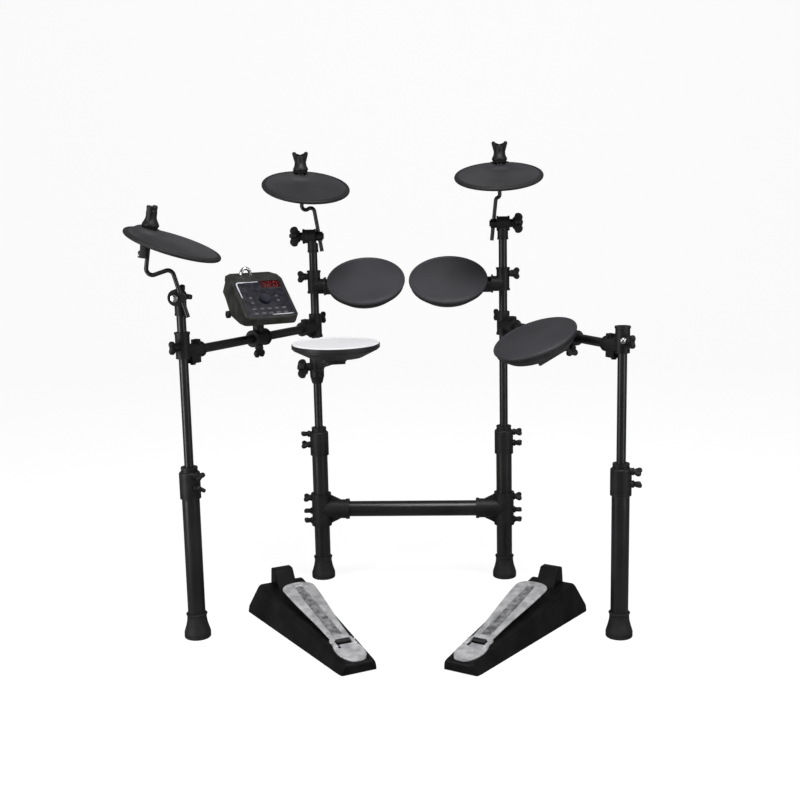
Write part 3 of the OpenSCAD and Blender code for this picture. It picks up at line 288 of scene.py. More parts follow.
def turned(profile, around=96):
    """A lathe shape: each profile point (radius, height) goes round the Z axis."""
    angle = np.linspace(0, 2 * np.pi, around, endpoint=False)
    profile = np.asarray(profile, float)
    ring = np.stack([np.cos(angle), np.sin(angle)], -1)
    flat = profile[:, None, :1] * ring[None]
    return np.concatenate([flat, np.repeat(profile[:, None, 1:], around, 1)], -1)


def corner_arc(centre, radius, start, end, steps=8):
    """Points of a circle arc from `start` to `end` degrees about a centre (x, y)."""
    angle = np.radians(np.linspace(start, end, steps))
    return np.stack([centre[0] + radius * np.cos(angle), centre[1] + radius * np.sin(angle)], -1)


def shift(x, y, z):
    """A move given in millimetres."""
    return Matrix.Translation((x / 1000, y / 1000, z / 1000))


def rotate(degrees, axis):
    """A turn about an axis through the origin."""
    return Matrix.Rotation(np.radians(degrees), 4, axis)


def axes_at(place, x_axis, z_axis=(0, 0, 1)):
    """A frame at a place, with its X along one direction and its Z as near as can be to another."""
    x_dir = Vector(x_axis).normalized()
    y_dir = Vector(z_axis).cross(x_dir).normalized()
    axes = Matrix((x_dir, y_dir, x_dir.cross(y_dir))).transposed().to_4x4()
    axes.translation = Vector(place)
    return axes


def capped(grid):
    """Closes a tube of rings at both ends with a fan to each end ring's middle."""
    first = np.repeat(grid[:1].mean(1, keepdims=True), grid.shape[1], 1)
    last = np.repeat(grid[-1:].mean(1, keepdims=True), grid.shape[1], 1)
    return np.concatenate([first, grid, last])


def rings_along(x, across, height):
    """A form made of rings across it, one for each x. Each ring is put together from runs of widths and
    runs of heights; a run of heights that is the same in every ring is given once."""
    runs = [np.broadcast_to(run, (len(x), run.shape[-1])) for run in height]
    across, height = np.concatenate(across, 1), np.concatenate(runs, 1)
    return capped(np.stack([np.broadcast_to(x[:, None], across.shape), across, height], -1))


def slab(outline, layers):
    """A plate with eased edges. Each layer (inset, height) is the closed outline drawn in along its own
    normals; the first and last layers are closed with fans."""
    ahead, behind = np.roll(outline, -1, 0), np.roll(outline, 1, 0)
    edge_a, edge_b = outline - behind, ahead - outline
    edge_a /= np.linalg.norm(edge_a, axis=1, keepdims=True) + 1e-12
    edge_b /= np.linalg.norm(edge_b, axis=1, keepdims=True) + 1e-12
    along = edge_a + edge_b
    along /= np.linalg.norm(along, axis=1, keepdims=True) + 1e-12
    inward = np.stack([-along[:, 1], along[:, 0]], -1)
    area = np.sum(outline[:, 0] * ahead[:, 1] - ahead[:, 0] * outline[:, 1])
    inward *= np.sign(area)
    rings = [np.concatenate([outline + inward * inset, np.full((len(outline), 1), height)], 1)
             for inset, height in layers]
    return capped(np.stack(rings))


def eased(low, high, radius, steps=5):
    """Layers for a slab from `low` to `high` with both edges rounded by `radius`."""
    angle = quarter(steps)
    lower = [(radius * (1 - np.sin(a)), low + radius * (1 - np.cos(a))) for a in angle]
    upper = [(radius * (1 - np.cos(a)), high - radius * (1 - np.sin(a))) for a in angle]
    return lower + upper


def rounded_outline(corners, radius, steps=7):
    """A closed outline with each corner of a polygon, taken anticlockwise, replaced by an arc."""
    corners = np.asarray(corners, float)
    radius = np.broadcast_to(radius, len(corners))
    out = []
    for corner, before, after, r in zip(corners, np.roll(corners, 1, 0), np.roll(corners, -1, 0), radius):
        back, ahead = before - corner, after - corner
        back, ahead = back / np.linalg.norm(back), ahead / np.linalg.norm(ahead)
        half = np.arccos(np.clip(back @ ahead, -1, 1)) / 2
        reach = r / np.tan(half)
        centre = corner + (back + ahead) / np.linalg.norm(back + ahead) * r / np.sin(half)
        start, end = corner + back * reach - centre, corner + ahead * reach - centre
        t = np.linspace(0, 1, steps)[:, None]
        span = np.arccos(np.clip(start @ end / r ** 2, -1, 1))
        out.append(centre + (np.sin((1 - t) * span) * start + np.sin(t * span) * end) / np.sin(span))
    return np.concatenate(out)


def rounded_box(low, high, radius):
    """The outline of an upright rectangle with rounded corners."""
    return rounded_outline([low, (high[0], low[1]), high, (low[0], high[1])], radius)


# Bright zinc for bolts, studs and the wire hook
bolt_zinc = grained_finish("bolt_zinc", (0.52, 0.52, 0.53), (0.68, 0.68, 0.69), (0.16, 0.3), 1800.0,
                           0.00005, cloud=60.0, metallic=1.0)


def wing_blade(spread, lobe, foot):
    """A wing's outline, drawn across and out along its screw: two round lobes, a hollow between them and
    flanks running down to the hub's foot."""
    hollow = 0.85 * lobe
    over = np.sqrt((lobe + hollow) ** 2 - spread ** 2)
    meet = np.degrees(np.arctan2(over, spread))
    left = corner_arc((-spread, 14), lobe, 215, meet, 14)
    dip = corner_arc((0, 14 + over), hollow, 180 + meet, 360 - meet, 9)
    right = corner_arc((spread, 14), lobe, 180 - meet, -35, 14)
    return path(left, dip, right, [foot, 1.0], [-foot, 1.0])


def wing_hub(foot):
    """The hub under the wings: a cone with a collar at its foot and an eased end."""
    return path([0, -0.4], corner_arc((foot + 3.2, 1.2), 1.2, -90, 60, 5), [foot + 1.8, 3.4],
                corner_arc((foot - 0.6, 9.6), 1.2, 0, 90, 5), [0, 10.8])


def stud_end():
    """The steel stud's domed end, standing a little out of the hub between the lobes."""
    return path([0, 9.8], [2.9, 9.8], corner_arc((1.7, 11.2), 1.2, 0, 90, 5), [0, 12.5])


def wing_screws(node, screws):
    """Wing screws on one clamp. Each is (place, way out, way across, lobe spread, lobe radius, star):
    a star has a second blade square to the first."""
    wings, studs = [], []
    for place, out, across, spread, lobe, star in screws:
        seat = axes_at(place, across, out)
        half_thick, foot = 3.7 + 0.13 * lobe, 0.75 * spread
        blade = slab(wing_blade(spread, lobe, foot), eased(-half_thick, half_thick, 2.6, 5))
        wings += [(blade, seat @ rotate(turn, "Z") @ rotate(90, "X")) for turn in (0, 90)[:1 + star]]
        wings.append((turned(wing_hub(foot), 40), seat))
        studs.append((turned(stud_end(), 24), seat))
    add_piece(node + "_wings", wings, clamp_nylon, body_of_node[node])
    add_piece(node + "_studs", studs, bolt_zinc, body_of_node[node])


# Where the posts stand, and which way the side arms run
sides = {"left": Vector((-1, 0, 0)), "right": Vector((1, 0, 0))}
rear = {side: joint_at[side + "_arm_fold"] for side in sides}
corner = {"left": joint_at["hihat_turn"],
          "right": (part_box("front_right_post")[0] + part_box("front_right_post")[1]) / 2}
arm_way = {side: Vector((corner[side].x - rear[side].x, corner[side].y - rear[side].y, 0)).normalized()
           for side in sides}
bar_middle = (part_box("crossbar")[0].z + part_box("crossbar")[1].z) / 2
# Each wing's lobe spread and lobe radius in mm, and whether it is a star
tee_wing, collar_wing, clamp_wing = (6.8, 6.6, False), (6.4, 6.4, False), (8.0, 7.6, False)
module_wing, snare_star, rod_star = (9.4, 8.6, False), (13.6, 12.4, True), (14.3, 12.0, True)
# How far the screws' bosses stand from the axis of their tube, in metres
tee_reach, collar_reach, clamp_reach, under_reach = 0.027, 0.028, 0.022, 0.025
for side, outward in sides.items():
    way = arm_way[side]
    post = Vector((rear[side].x, rear[side].y, 0))
    front = Vector((corner[side].x, corner[side].y, rear[side].z))
    wing_screws(side + "_tee", [
        (post + outward * tee_reach + upward * (bar_middle + lift), outward,
         Vector((0, np.sin(turn), -np.cos(turn))), *tee_wing)
        for lift, turn in ((-0.032, 1.012), (-0.005, 1.484), (0.032, 2.129))])
    for node, middle, heading in (("rear_" + side + "_collar", post, np.pi if side == "left" else 0.0),
                                  ("front_" + side + "_collar", front,
                                   np.radians(-40 if side == "left" else -20))):
        out = Vector((np.cos(heading), np.sin(heading), 0))
        base = Vector((middle.x, middle.y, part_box(node)[0].z))
        wing_screws(node, [(base + out * collar_reach + upward * lift, out,
                            upward.cross(out) * np.sin(turn) - upward * np.cos(turn), *collar_wing)
                           for lift, turn in ((0.028, 0.977), (0.058, 2.025))])
    wing_screws(side + "_swing_clamp",
                [(rear[side] - way * clamp_reach + upward * 0.0217, -way, upward, *clamp_wing)])
    wing_screws(side + "_arm_clamp",
                [(front + way * clamp_reach + upward * 0.014, way, upward, *clamp_wing)])
    tom_boss = joint_at[side + "_tom_turn"] + outward * clamp_reach + upward * 0.026
    wing_screws(side + "_tom_clamp", [(tom_boss, outward, upward, *clamp_wing)])
wing_screws("floor_tom_clamp", [(joint_at["floor_tom_swing"] - upward * under_reach, -upward,
                                 upward.cross(arm_way["right"]), *clamp_wing)])
module_arm = Vector((*joint_at["module_tilt"].xy, rear["left"].z - under_reach))
wing_screws("module_clamp", [(module_arm, -upward, arm_way["left"], *module_wing)])
snare_at = joint_at["snare_turn"]
wing_screws("snare_clamp", [(snare_at - Vector((under_reach, 0, 0.005)), sides["left"],
                             Vector((0, 0.94, -0.342)), *snare_star)])


def bolt_head(radius):
    """A bright domed bolt on its axis: a washer 1.5 times as wide, a short side and a dome."""
    washer = corner_arc((1.5 * radius - 0.4, 1.0), 0.4, 0, 90, 3)
    return path([0, -1.5], [1.5 * radius, -1.5], washer, corner_arc((radius - 0.6, 2.4), 0.6, 0, 60, 4),
                [0.6 * radius, 4.0], [0, 4.6])


# A domed bolt closes the snare clamp beside its arm, and another the front right corner
right_corner = Vector((*corner["right"].xy, rear["right"].z + 0.016))
for node, middle, heading, size in (("snare_clamp", snare_at, -42, 3.6),
                                    ("right_arm_clamp", right_corner, -93, 5.0)):
    out = Vector((np.cos(np.radians(heading)), np.sin(np.radians(heading)), 0))
    seat = axes_at(middle + out * 0.0228, upward.cross(out), out)
    add_piece(node + "_bolt", [(turned(bolt_head(size), 40), seat)], bolt_zinc, body_of_node[node])

# The cymbal rods' eye bolts end in four-lobed star knobs, seated in from the rod's far end
star_in = 0.0255
for name, out, across, far_end in (("hihat", Vector((0, 1, 0)), (0.985, 0, -0.174), 1),
                                   ("crash", Vector((-1, 0, 0)), (0, 0.985, -0.174), 0),
                                   ("ride", Vector((1, 0, 0)), (0, 0.985, -0.174), 1)):
    bolt = joint_at[name + "_rod_tilt"]
    far = abs((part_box(name + "_rod")[far_end] - bolt).dot(out))
    wing_screws(name + "_rod", [(bolt + out * (far - star_in), out, Vector(across), *rod_star)])

# ---------------------------------------------------------------- feet
# A turned rubber boot on each leg's end: a broad sole with a groove round it and a waisted flare.

foot_rubber = grained_finish("foot_rubber", (0.0065, 0.0065, 0.0068), (0.014, 0.014, 0.0145),
                             (0.55, 0.75), 700.0, 0.0003, cloud=30.0)


def foot_profile(sole, neck, height):
    """Radius against height: an eased sole, a wall with one groove, then a hollow sweep up to the neck."""
    rise = np.linspace(14, height - 7, 22)
    t = (rise - 14) / (height - 21)
    sweep = neck + (sole - neck) * (1 - np.sin(t * np.pi / 2) ** 1.15) ** 1.05
    grooved = [[sole, 7], [sole - 0.9, 7.6], [sole - 0.9, 9.2], [sole, 9.8], [sole, 14]]
    return path([0, 0.0], corner_arc((sole - 4, 4), 4, -90, 0), grooved, np.stack([sweep, rise], 1)[1:],
                corner_arc((neck + 0.2, height - 2.2), 2, 0, 90, 6), [neck - 2.6, height - 0.2],
                [0, height - 0.2])


for leg in ("rear_left", "rear_right", "front_left", "front_right"):
    low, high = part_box(leg + "_foot")
    middle = (low + high) / 2
    boot = turned(foot_profile((high.x - low.x) * 500, 23.4, (high.z - low.z) * 1000))
    add_piece(leg + "_boot", [(boot, Matrix.Translation((middle.x, middle.y, low.z)))], foot_rubber,
              body_of_node[leg + "_foot"], [leg + "_foot"])

# ---------------------------------------------------------------- cymbal pads
# Each pad is a bowed plate covered in charcoal rubber with a thick soft rim. It hangs off-centre on a
# ball under a raised bell, so its playing edge droops toward the drummer.

disc_radius = 114.0
disc_rim = 4.5
disc_drop = 14.0
cymbal_rubber = grained_finish("cymbal_rubber", (0.026, 0.026, 0.029), (0.044, 0.044, 0.049),
                               (0.42, 0.56), 1300.0, 0.00025, cloud=7.0)
rim_rubber = grained_finish("rim_rubber", (0.010, 0.010, 0.011), (0.018, 0.018, 0.019), (0.5, 0.62),
                            1300.0, 0.0002, cloud=12.0)


def disc_rise(radius):
    """Height of the bowed plate's face over its rim's middle line: a quarter sine from rim to middle."""
    flat = disc_radius - disc_rim
    return disc_rim + 7.0 * np.sin(np.pi / 2 * np.clip(1 - radius / flat, 0, 1))


def disc_face():
    """The playing face: the bow, with four faint moulded rings and a shallow channel inside the rim."""
    radius = np.linspace(0, disc_radius - 11, 60)
    steps = 0.35 * sum(smooth_step((radius - at) / 1.6) - smooth_step((radius - at - 2.2) / 1.6)
                       for at in (34, 58, 80, 94))
    channel = disc_radius - np.array([10.4, 9.4])
    return path(np.stack([radius, disc_rise(radius) - steps], 1),
                np.stack([channel, disc_rise(channel) - 0.9], 1))


def disc_edge():
    """The soft rim: up out of the channel, round the edge as a half circle, and back under the plate."""
    inner = disc_radius - 9.4
    crown = np.linspace(inner, disc_radius - disc_rim, 10)
    lift = disc_rise(crown) + 0.5 * np.sin(np.pi * (crown - inner) / (disc_radius - disc_rim - inner))
    edge = corner_arc((disc_radius - disc_rim, 0), disc_rim, 90, -90, 14)
    radius = np.linspace(disc_radius - 16, 0, 16)
    return path([inner, disc_rise(inner) - 0.9], np.stack([crown, lift], 1), edge[1:],
                [disc_radius - 12, -disc_rim], [disc_radius - 15, -disc_rim + 1],
                np.stack([radius, disc_rise(radius) - 5.0], 1))


def bell(disc_offset):
    """The bell about the ball: the plate's own face lifted by an eased hump from 46 mm to 25 mm out, with a
    flat top that ends in a rounded lip round the ball."""
    angle = np.linspace(0, 2 * np.pi, 96, endpoint=False)
    radius = np.concatenate([np.linspace(47, 24, 26), [22, 18, 14, 12.2]])
    x, y = radius[:, None] * np.cos(angle), radius[:, None] * np.sin(angle)
    plate = disc_rise(np.hypot(x, y + disc_offset)) - disc_drop
    hump = smooth_step((46 - radius) / 21.0)[:, None]
    top = plate * (1 - hump) + 3.0 * hump - 0.4 * (1 - hump)
    lip = turned([[11.4, 2.6], [11.0, 1.8], [11.0, -6.0]])
    return np.concatenate([np.stack([x, y, top], -1), lip])


def bell_socket():
    """The moulded socket under the bell: a soft cup round the rod's washer, open in its middle."""
    return turned(path([27, -8], corner_arc((22, -20), 3.5, 0, -90, 6), [17, -23.5], [15.5, -22],
                       [15.5, -9]))


# Each pad's droop and heading in degrees, and how far its ball sits off the plate's middle in mm
cymbals = {"hihat": (20.0, 80.0, 61.0), "crash": (20.0, 22.0, 55.0), "ride": (17.0, -4.0, 55.0)}
for name, (droop, turn, disc_offset) in cymbals.items():
    pad = name + "_pad"
    ball = Matrix.Translation(joint_at[name + "_rock"]) @ rotate(turn, "Z") @ rotate(droop, "X")
    hung = ball @ shift(0, -disc_offset, -disc_drop)
    add_piece(name + "_playing_face", [(turned(disc_face(), 128), hung)], cymbal_rubber, pad,
              [pad])
    add_piece(name + "_soft_rim", [(turned(disc_edge(), 128), hung)], rim_rubber, pad)
    add_piece(name + "_bell", [(bell(disc_offset), ball)], cymbal_rubber, pad)
    add_piece(name + "_socket", [(bell_socket(), ball)], rim_rubber, pad)

# The hi-hat pad's jack housing hangs beside its rod: a moulded block with a bright jack nut at its foot
housing_seat = (Matrix.Translation(joint_at["hihat_rock"] + Vector((-0.0165, -0.006, -0.064)))
                @ rotate(7, "Y"))
housing = slab(rounded_box((-8.5, -11), (8.5, 11), 3.5), eased(0, 46, 3, 5))
add_piece("hihat_jack_housing", [(housing, housing_seat)], rim_rubber, "hihat_pad")
jack = turned(path([0, 0.6], [3.2, 0.6], corner_arc((4.4, 3.2), 0.8, 180, 90, 4),
                   corner_arc((7.4, 3.2), 0.8, 90, 0, 4), [8.2, -0.6]), 48)
add_piece("hihat_jack_nut", [(jack, housing_seat @ shift(-8.5, -2, 8) @ rotate(-90, "Y"))], bolt_zinc,
          "hihat_pad")

# The hi-hat rod's eye is clamped by a bright domed bolt that faces the drummer
eye_bolt = turned(path([0, 8.2], [8.6, 8.2], corner_arc((7.8, 9.4), 0.8, 0, 70, 4),
                       corner_arc((0, 2.2), 10.4, 52, 90, 10)), 48)
add_piece("hihat_eye_bolt", [(eye_bolt, axes_at(joint_at["hihat_rod_tilt"], (1, 0, 0), (0, -1, 0)))],
          bolt_zinc, "hihat_rod")

# ---------------------------------------------------------------- cymbal nuts
# A tall nylon wing nut holds each pad down: a flared foot, a waisted grip and two horns with a saddle. A
# soft rubber sleeve under its foot cushions the bell.


def nut_body():
    """The nut's round body: an eased foot 40 mm across, a waist, and a domed end in the saddle."""
    height = np.linspace(12.5, 45, 24)
    t = (height - 12.5) / 32.5
    radius = 12.6 + 7.4 * (1 - smooth_step(t * 1.5)) ** 1.2
    foot = corner_arc((18.5, 13.0), 1.5, -90, 0, 5)
    top = corner_arc((10.1, 45.5), 2.5, 0, 90, 6)
    return turned(path([4.2, 11.5], foot, np.stack([radius, height], 1)[2:], top, [0, 48]), 64)


def nut_wings():
    """The blade across the nut, drawn as an outline with two round horns and a hollow saddle."""
    left = corner_arc((-15.5, 54), 5.0, 200, 30, 12)
    saddle = corner_arc((0, 69), 17.5, 232, 308, 14)
    right = corner_arc((15.5, 54), 5.0, 150, -20, 12)
    flanks = [[14.6, 32], [16.6, 15.5], [-16.6, 15.5], [-14.6, 32]]
    return slab(path(left, saddle, right, flanks)[::-1], eased(-5.6, 5.6, 2.2, 5))


def nut_sleeve():
    """The sleeve: a rubber cone that narrows from the nut's foot down to the bell's lip."""
    return path([5.0, 4.8], corner_arc((15.6, 6.0), 1.2, -90, 0, 5), [17.4, 9.0], [19.0, 11.0],
                [19.2, 12.0], [5.0, 12.0])


# Each nut's heading in degrees and its lift in mm
nut_seats = {"hihat": (80.0, -3.5), "crash": (0.0, 0.0), "ride": (0.0, 0.0)}
for name, (heading, lift) in nut_seats.items():
    nut = name + "_nut"
    lean = upward.rotation_difference(Vector(joints[nut + "_turn"]["axis"])).to_matrix().to_4x4()
    stud = Matrix.Translation(joint_at[nut + "_turn"]) @ lean @ shift(0, 0, lift) @ rotate(heading, "Z")
    add_piece(name + "_wing_nut", [(nut_body(), stud), (nut_wings(), stud @ rotate(90, "X"))],
              clamp_nylon, nut, [nut])
    add_piece(nut + "_sleeve", [(turned(nut_sleeve(), 64), stud)], rim_rubber, nut,
              ring=True)

# ---------------------------------------------------------------- tom pads
# Three pads with a round-edged natural-rubber face, 208 mm across, set into shallow moulded bowls on
# tilting brackets. The rubber is matt charcoal and sits on a thin gasket.

pad_radius = 104.0
pad_face = 9.0
tom_rubber = grained_finish("tom_rubber", (0.027, 0.027, 0.031), (0.044, 0.044, 0.050), (0.44, 0.58),
                            1500.0, 0.0002, cloud=6.0)
bowl_plastic = grained_finish("bowl_plastic", (0.010, 0.010, 0.011), (0.021, 0.021, 0.0225),
                              (0.38, 0.52), 2000.0, 0.00016, cloud=16.0)
refinish(bowl_plastic, "left_tom_shell", "right_tom_shell", "floor_tom_shell", "snare_shell")


def pad_rubber_face():
    """The rubber: a nearly flat field, a shallow groove 9 mm in from the edge, then a full round rim that
    turns under to the gasket."""
    radius = np.linspace(0, pad_radius - 12, 30)
    field = np.stack([radius, pad_face - 0.25 - 0.25 * (radius / pad_radius) ** 2], 1)
    across = np.linspace(pad_radius - 11.5, pad_radius - 6.0, 14)
    dip = 0.7 * np.exp(-((across - pad_radius + 9) / 1.1) ** 2)
    groove = np.stack([across, pad_face - 0.5 + 0.45 * smooth_step((across - pad_radius + 9) / 3) - dip], 1)
    rim = corner_arc((pad_radius - 4.5, pad_face / 2), 4.5, 82, -88, 18)
    return path(field, groove, rim, [pad_radius - 6, 0.1], [0, 0.1])


def gasket():
    """A thin black band between the rubber and the bowl."""
    return path([0, -1.6], corner_arc((pad_radius - 4.6, -0.9), 0.7, -90, 90, 6), [0, 0.3])


pad_tilt, pad_lift = rotate(31, "X"), 11.0
tom_seats = {}
for name in ("left_tom", "right_tom"):
    low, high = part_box(name + "_pad")
    axle = joint_at[name + "_tilt"]
    tom_seats[name] = (Matrix.Translation(((low.x + high.x) / 2, axle.y, axle.z)) @ pad_tilt
                       @ shift(0, 0, pad_lift))

# The floor pad's neck falls 23 degrees from the right arm and the pad leans back a little on it
floor_neck = Vector(joints["floor_tom_tilt"]["axis"])
floor_up = rotate(-2.6, floor_neck) @ floor_neck.cross(Vector(joints["floor_tom_swing"]["axis"]))
if floor_up.z < 0:
    floor_up = -floor_up
floor_reach, floor_stand = 0.072, 0.0426
tom_seats["floor_tom"] = axes_at(joint_at["floor_tom_tilt"] + floor_neck * floor_reach
                                 + floor_up * floor_stand, floor_neck, floor_up)
for name, seat in tom_seats.items():
    add_piece(name + "_rubber", [(turned(pad_rubber_face(), 128), seat)], tom_rubber, name,
              [name + "_pad"])
    add_piece(name + "_gasket", [(turned(gasket(), 96), seat)], rim_rubber, name)

# ---------------------------------------------------------------- snare pad
# A white coated head under a raised white rim guard, held by a black hoop on a black moulded bowl that
# tilts on its rod.

head_coat = grained_finish("white_head_coat", (0.76, 0.76, 0.78), (0.84, 0.84, 0.86), (0.42, 0.58),
                           1800.0, 0.00025, cloud=6.0)
snare_low, snare_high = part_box("snare_head")
snare_radius = (snare_high.x - snare_low.x) * 500
snare_seat = Matrix.Translation(((snare_low.x + snare_high.x) / 2, (snare_low.y + snare_high.y) / 2,
                                 snare_low.z))


def snare_face():
    """The head: a flat coated field, a narrow groove, a raised round rim guard and a short skirt."""
    field = np.stack([np.linspace(0, snare_radius - 13, 24), np.full(24, 3.6)], 1)
    groove = [[snare_radius - 12.4, 2.6], [snare_radius - 11.4, 2.5], [snare_radius - 10.6, 3.2]]
    guard = corner_arc((snare_radius - 3.4, 2.6), 2.4, 90, 0, 8) + [1.0, 0.0]
    inner = corner_arc((snare_radius - 8.0, 3.0), 2.0, 180, 90, 6)
    skirt = corner_arc((snare_radius - 0.9, 0.9), 0.9, 0, -90, 4)
    return path(field, groove, inner, guard, skirt, [0, 0.0])


def snare_hoop():
    """The black hoop: a soft-cornered band that grips the head's skirt and stands 2 mm proud of it."""
    return path(corner_arc((snare_radius + 0.9, 1.1), 1.1, 100, 0, 6),
                corner_arc((snare_radius + 0.6, -6.6), 1.4, 0, -100, 6))


add_piece("snare_white_head", [(turned(snare_face(), 128), snare_seat)], head_coat, "snare",
          ["snare_head"])
add_piece("snare_hoop", [(turned(snare_hoop(), 128), snare_seat)], bowl_plastic, "snare",
          ring=True)

# ---------------------------------------------------------------- foot pedals
# Each pedal is a moulded black wedge with leaning sides and a sensor block behind the toe. A cast
# aluminium footboard, painted silver, hangs on a pin between two arms of the heel plate.

pedal_length = 512.0
pedal_toe_height, pedal_heel_height = 78.0, 28.0
pedal_toe_width, pedal_heel_width = 86.0, 45.0
pedal_hinge_at = 415.0
board_length = 290.0
board_rise = 10.4
wedge_plastic = grained_finish("wedge_plastic", (0.0030, 0.0030, 0.0030), (0.0085, 0.0085, 0.0082),
                               (0.36, 0.52), 1600.0, 0.0004, cloud=22.0, shine=0.13)
board_silver = grained_finish("board_silver", (0.38, 0.38, 0.39), (0.66, 0.66, 0.675), (0.36, 0.5),
                              1100.0, 0.00035, cloud=42.0, metallic=0.35, coat=0.15)
panel_grey = grained_finish("board_panel_grey", (0.075, 0.075, 0.08), (0.30, 0.30, 0.31), (0.45, 0.6),
                            900.0, 0.0003, cloud=65.0)


def wedge_top(p):
    """Height of the wedge's top above the floor at `p` from the toe end."""
    return pedal_toe_height - (pedal_toe_height - pedal_heel_height) * p / pedal_length


def wedge():
    """The base as rings along its length. A ring runs across the floor, up the leaning side, round the
    top edge and back. Its ends close round an 8 mm nose, and the plan's corners are rounded 16 mm."""
    nose, corner, toe_face_rise = 8, 16, 2.458
    toe_face_end, toe_crown_at, toe_crown_end = 24.6, 32, 32.8
    heel_nose_at, heel_corner_at = pedal_length - nose, pedal_length - corner
    p = np.concatenate([nose * (1 - np.cos(quarter(10))), np.linspace(9, 36, 18), np.linspace(46, 492, 28),
                        pedal_length - 20 * (1 - np.sin(quarter(16)))])
    p = np.unique(np.round(p, 4))
    toe_face = np.where(p < 0.6, nose + round_over(p - nose, nose), 11 + (p - 0.6) * toe_face_rise)
    toe_crown = 67 + round_over(p - toe_crown_at, nose)
    high = np.where(p < toe_face_end, toe_face, np.where(p < toe_crown_end, toe_crown, wedge_top(p)))
    high = np.where(p > heel_nose_at + 0.8, 20 + round_over(p - heel_nose_at, nose), high)
    low = np.where(p < nose, nose - round_over(p - nose, nose), 0)
    low = np.where(p > heel_nose_at, nose - round_over(p - heel_nose_at, nose), low)
    plan = np.where(p < corner, 70 + round_over(corner - p, corner), 90.0)
    plan = np.where(p > heel_corner_at, 29 + round_over(p - heel_corner_at, corner), plan)
    foot_half = pedal_toe_width - 0.5 - (pedal_toe_width - pedal_heel_width) * p / pedal_length
    rise = np.concatenate([np.linspace(0, 0.8, 9), 0.8 + 0.2 * np.sin(quarter(9))[1:]])
    z = low[:, None] + (high - low)[:, None] * rise
    lean = np.minimum(plan[:, None], foot_half[:, None] - z * np.tan(np.radians(18)))
    edge = np.minimum(7.0, (high - low) * 0.45)[:, None]
    over = np.clip((z - (high[:, None] - edge)) / np.maximum(edge, 1e-6), 0, 1)
    half = lean - edge * (1 - np.sqrt(1 - over ** 2))
    across = np.linspace(1, -1, 9)[1:-1]
    return rings_along(p, [half, half[:, -1:] * across, -half[:, ::-1],
                           half[:, :1] * np.linspace(-1, 1, 7)[1:-1]],
                       [z, np.repeat(high[:, None], 7, 1), z[:, ::-1], np.repeat(low[:, None], 5, 1)])


def upright_slab(outline, half_width, ease):
    """A slab drawn by its side outline (along, up) and standing across the pedal."""
    grid = slab(np.asarray(outline, float), eased(-half_width, half_width, ease, 5))
    return np.stack([grid[..., 0], grid[..., 2], grid[..., 1]], -1)


def board_half(t):
    """Half the footboard's width, from the waist at t = 0 to the toe at t = 1."""
    return 25 + 17 * np.sin(np.pi / 2 * np.clip(t, 0, 1)) ** 2


def board_plan(s):
    """Half width `s` millimetres from the hinge, with the toe's corners rounded 24 mm."""
    toe_round = 24.0
    into = np.clip((s - (board_length - toe_round)) / toe_round, 0, 1)
    return board_half(s / board_length) - toe_round * (1 - np.sqrt(1 - into ** 2)) * (1 + 0.25 * into)


def footboard():
    """The board as rings along its length: the tread's top with a sunk middle panel and raised sides, a
    full round edge 6 mm thick, and a flat underside."""
    edge_round, underside = 3.0, -3.4
    toe = board_length - 26 * (1 - np.sin(quarter(16)))
    s = np.unique(np.concatenate([np.linspace(2, 12, 6), np.linspace(14, board_length - 27, 64), toe]))
    half = np.maximum(board_plan(s), 0.4)
    flat_half = (half - edge_round)[:, None]
    y = flat_half * np.linspace(-1, 1, 49)
    sunk_half = 10.5 + 7.5 * (1 - s / board_length)
    sunk = smooth_step((sunk_half[:, None] - np.abs(y)) / 1.4)
    sunk = sunk * smooth_step((s - 24) / 4)[:, None] * smooth_step((board_length - 14 - s) / 6)[:, None]
    crown = 1.2 * (1 - (y / np.maximum(half, 1)[:, None]) ** 2)
    z_top = 2.6 + crown - 3.4 * sunk
    angle = np.linspace(np.pi / 2, -np.pi / 2, 9)[1:-1]
    right_y = flat_half + edge_round * np.cos(angle)
    edge_z = underside + edge_round + edge_round * np.sin(angle)
    under_y = flat_half * np.linspace(1, -1, 9)
    return rings_along(-s, [y, right_y, under_y, -right_y[:, ::-1]],
                       [z_top, edge_z, np.full(9, underside), edge_z[::-1]])


def board_panel():
    """The sunk grey panel: a thin strip down the middle with fine cross grooves for grip."""
    s = np.linspace(27, board_length - 17, 241)
    half = 9.6 + 7.5 * (1 - s / board_length)
    into_toe = np.clip(s - (board_length - 27), 0, 10)
    half = np.minimum(half, np.sqrt(np.clip(10 ** 2 - into_toe ** 2, 4, None)) + 1)
    y = half[:, None] * np.linspace(-1, 1, 15)
    groove_pitch, groove_depth = 6.0, 0.35
    groove = groove_depth * (np.sin(2 * np.pi * s / groove_pitch) > 0.3)
    top = (0.72 - groove)[:, None] + 1.2 * (1 - (y / 30) ** 2) * 0.9
    return rings_along(-s, [y, y[:, ::-1]], [top, np.full(15, -0.6)])


def heel_half(t):
    """Half the heel plate's width: a soft shoulder behind the hinge, narrowing to the heel."""
    return 29 + 6.5 * np.sin(np.pi * np.clip(t * 1.15, 0, 1)) - 6 * t


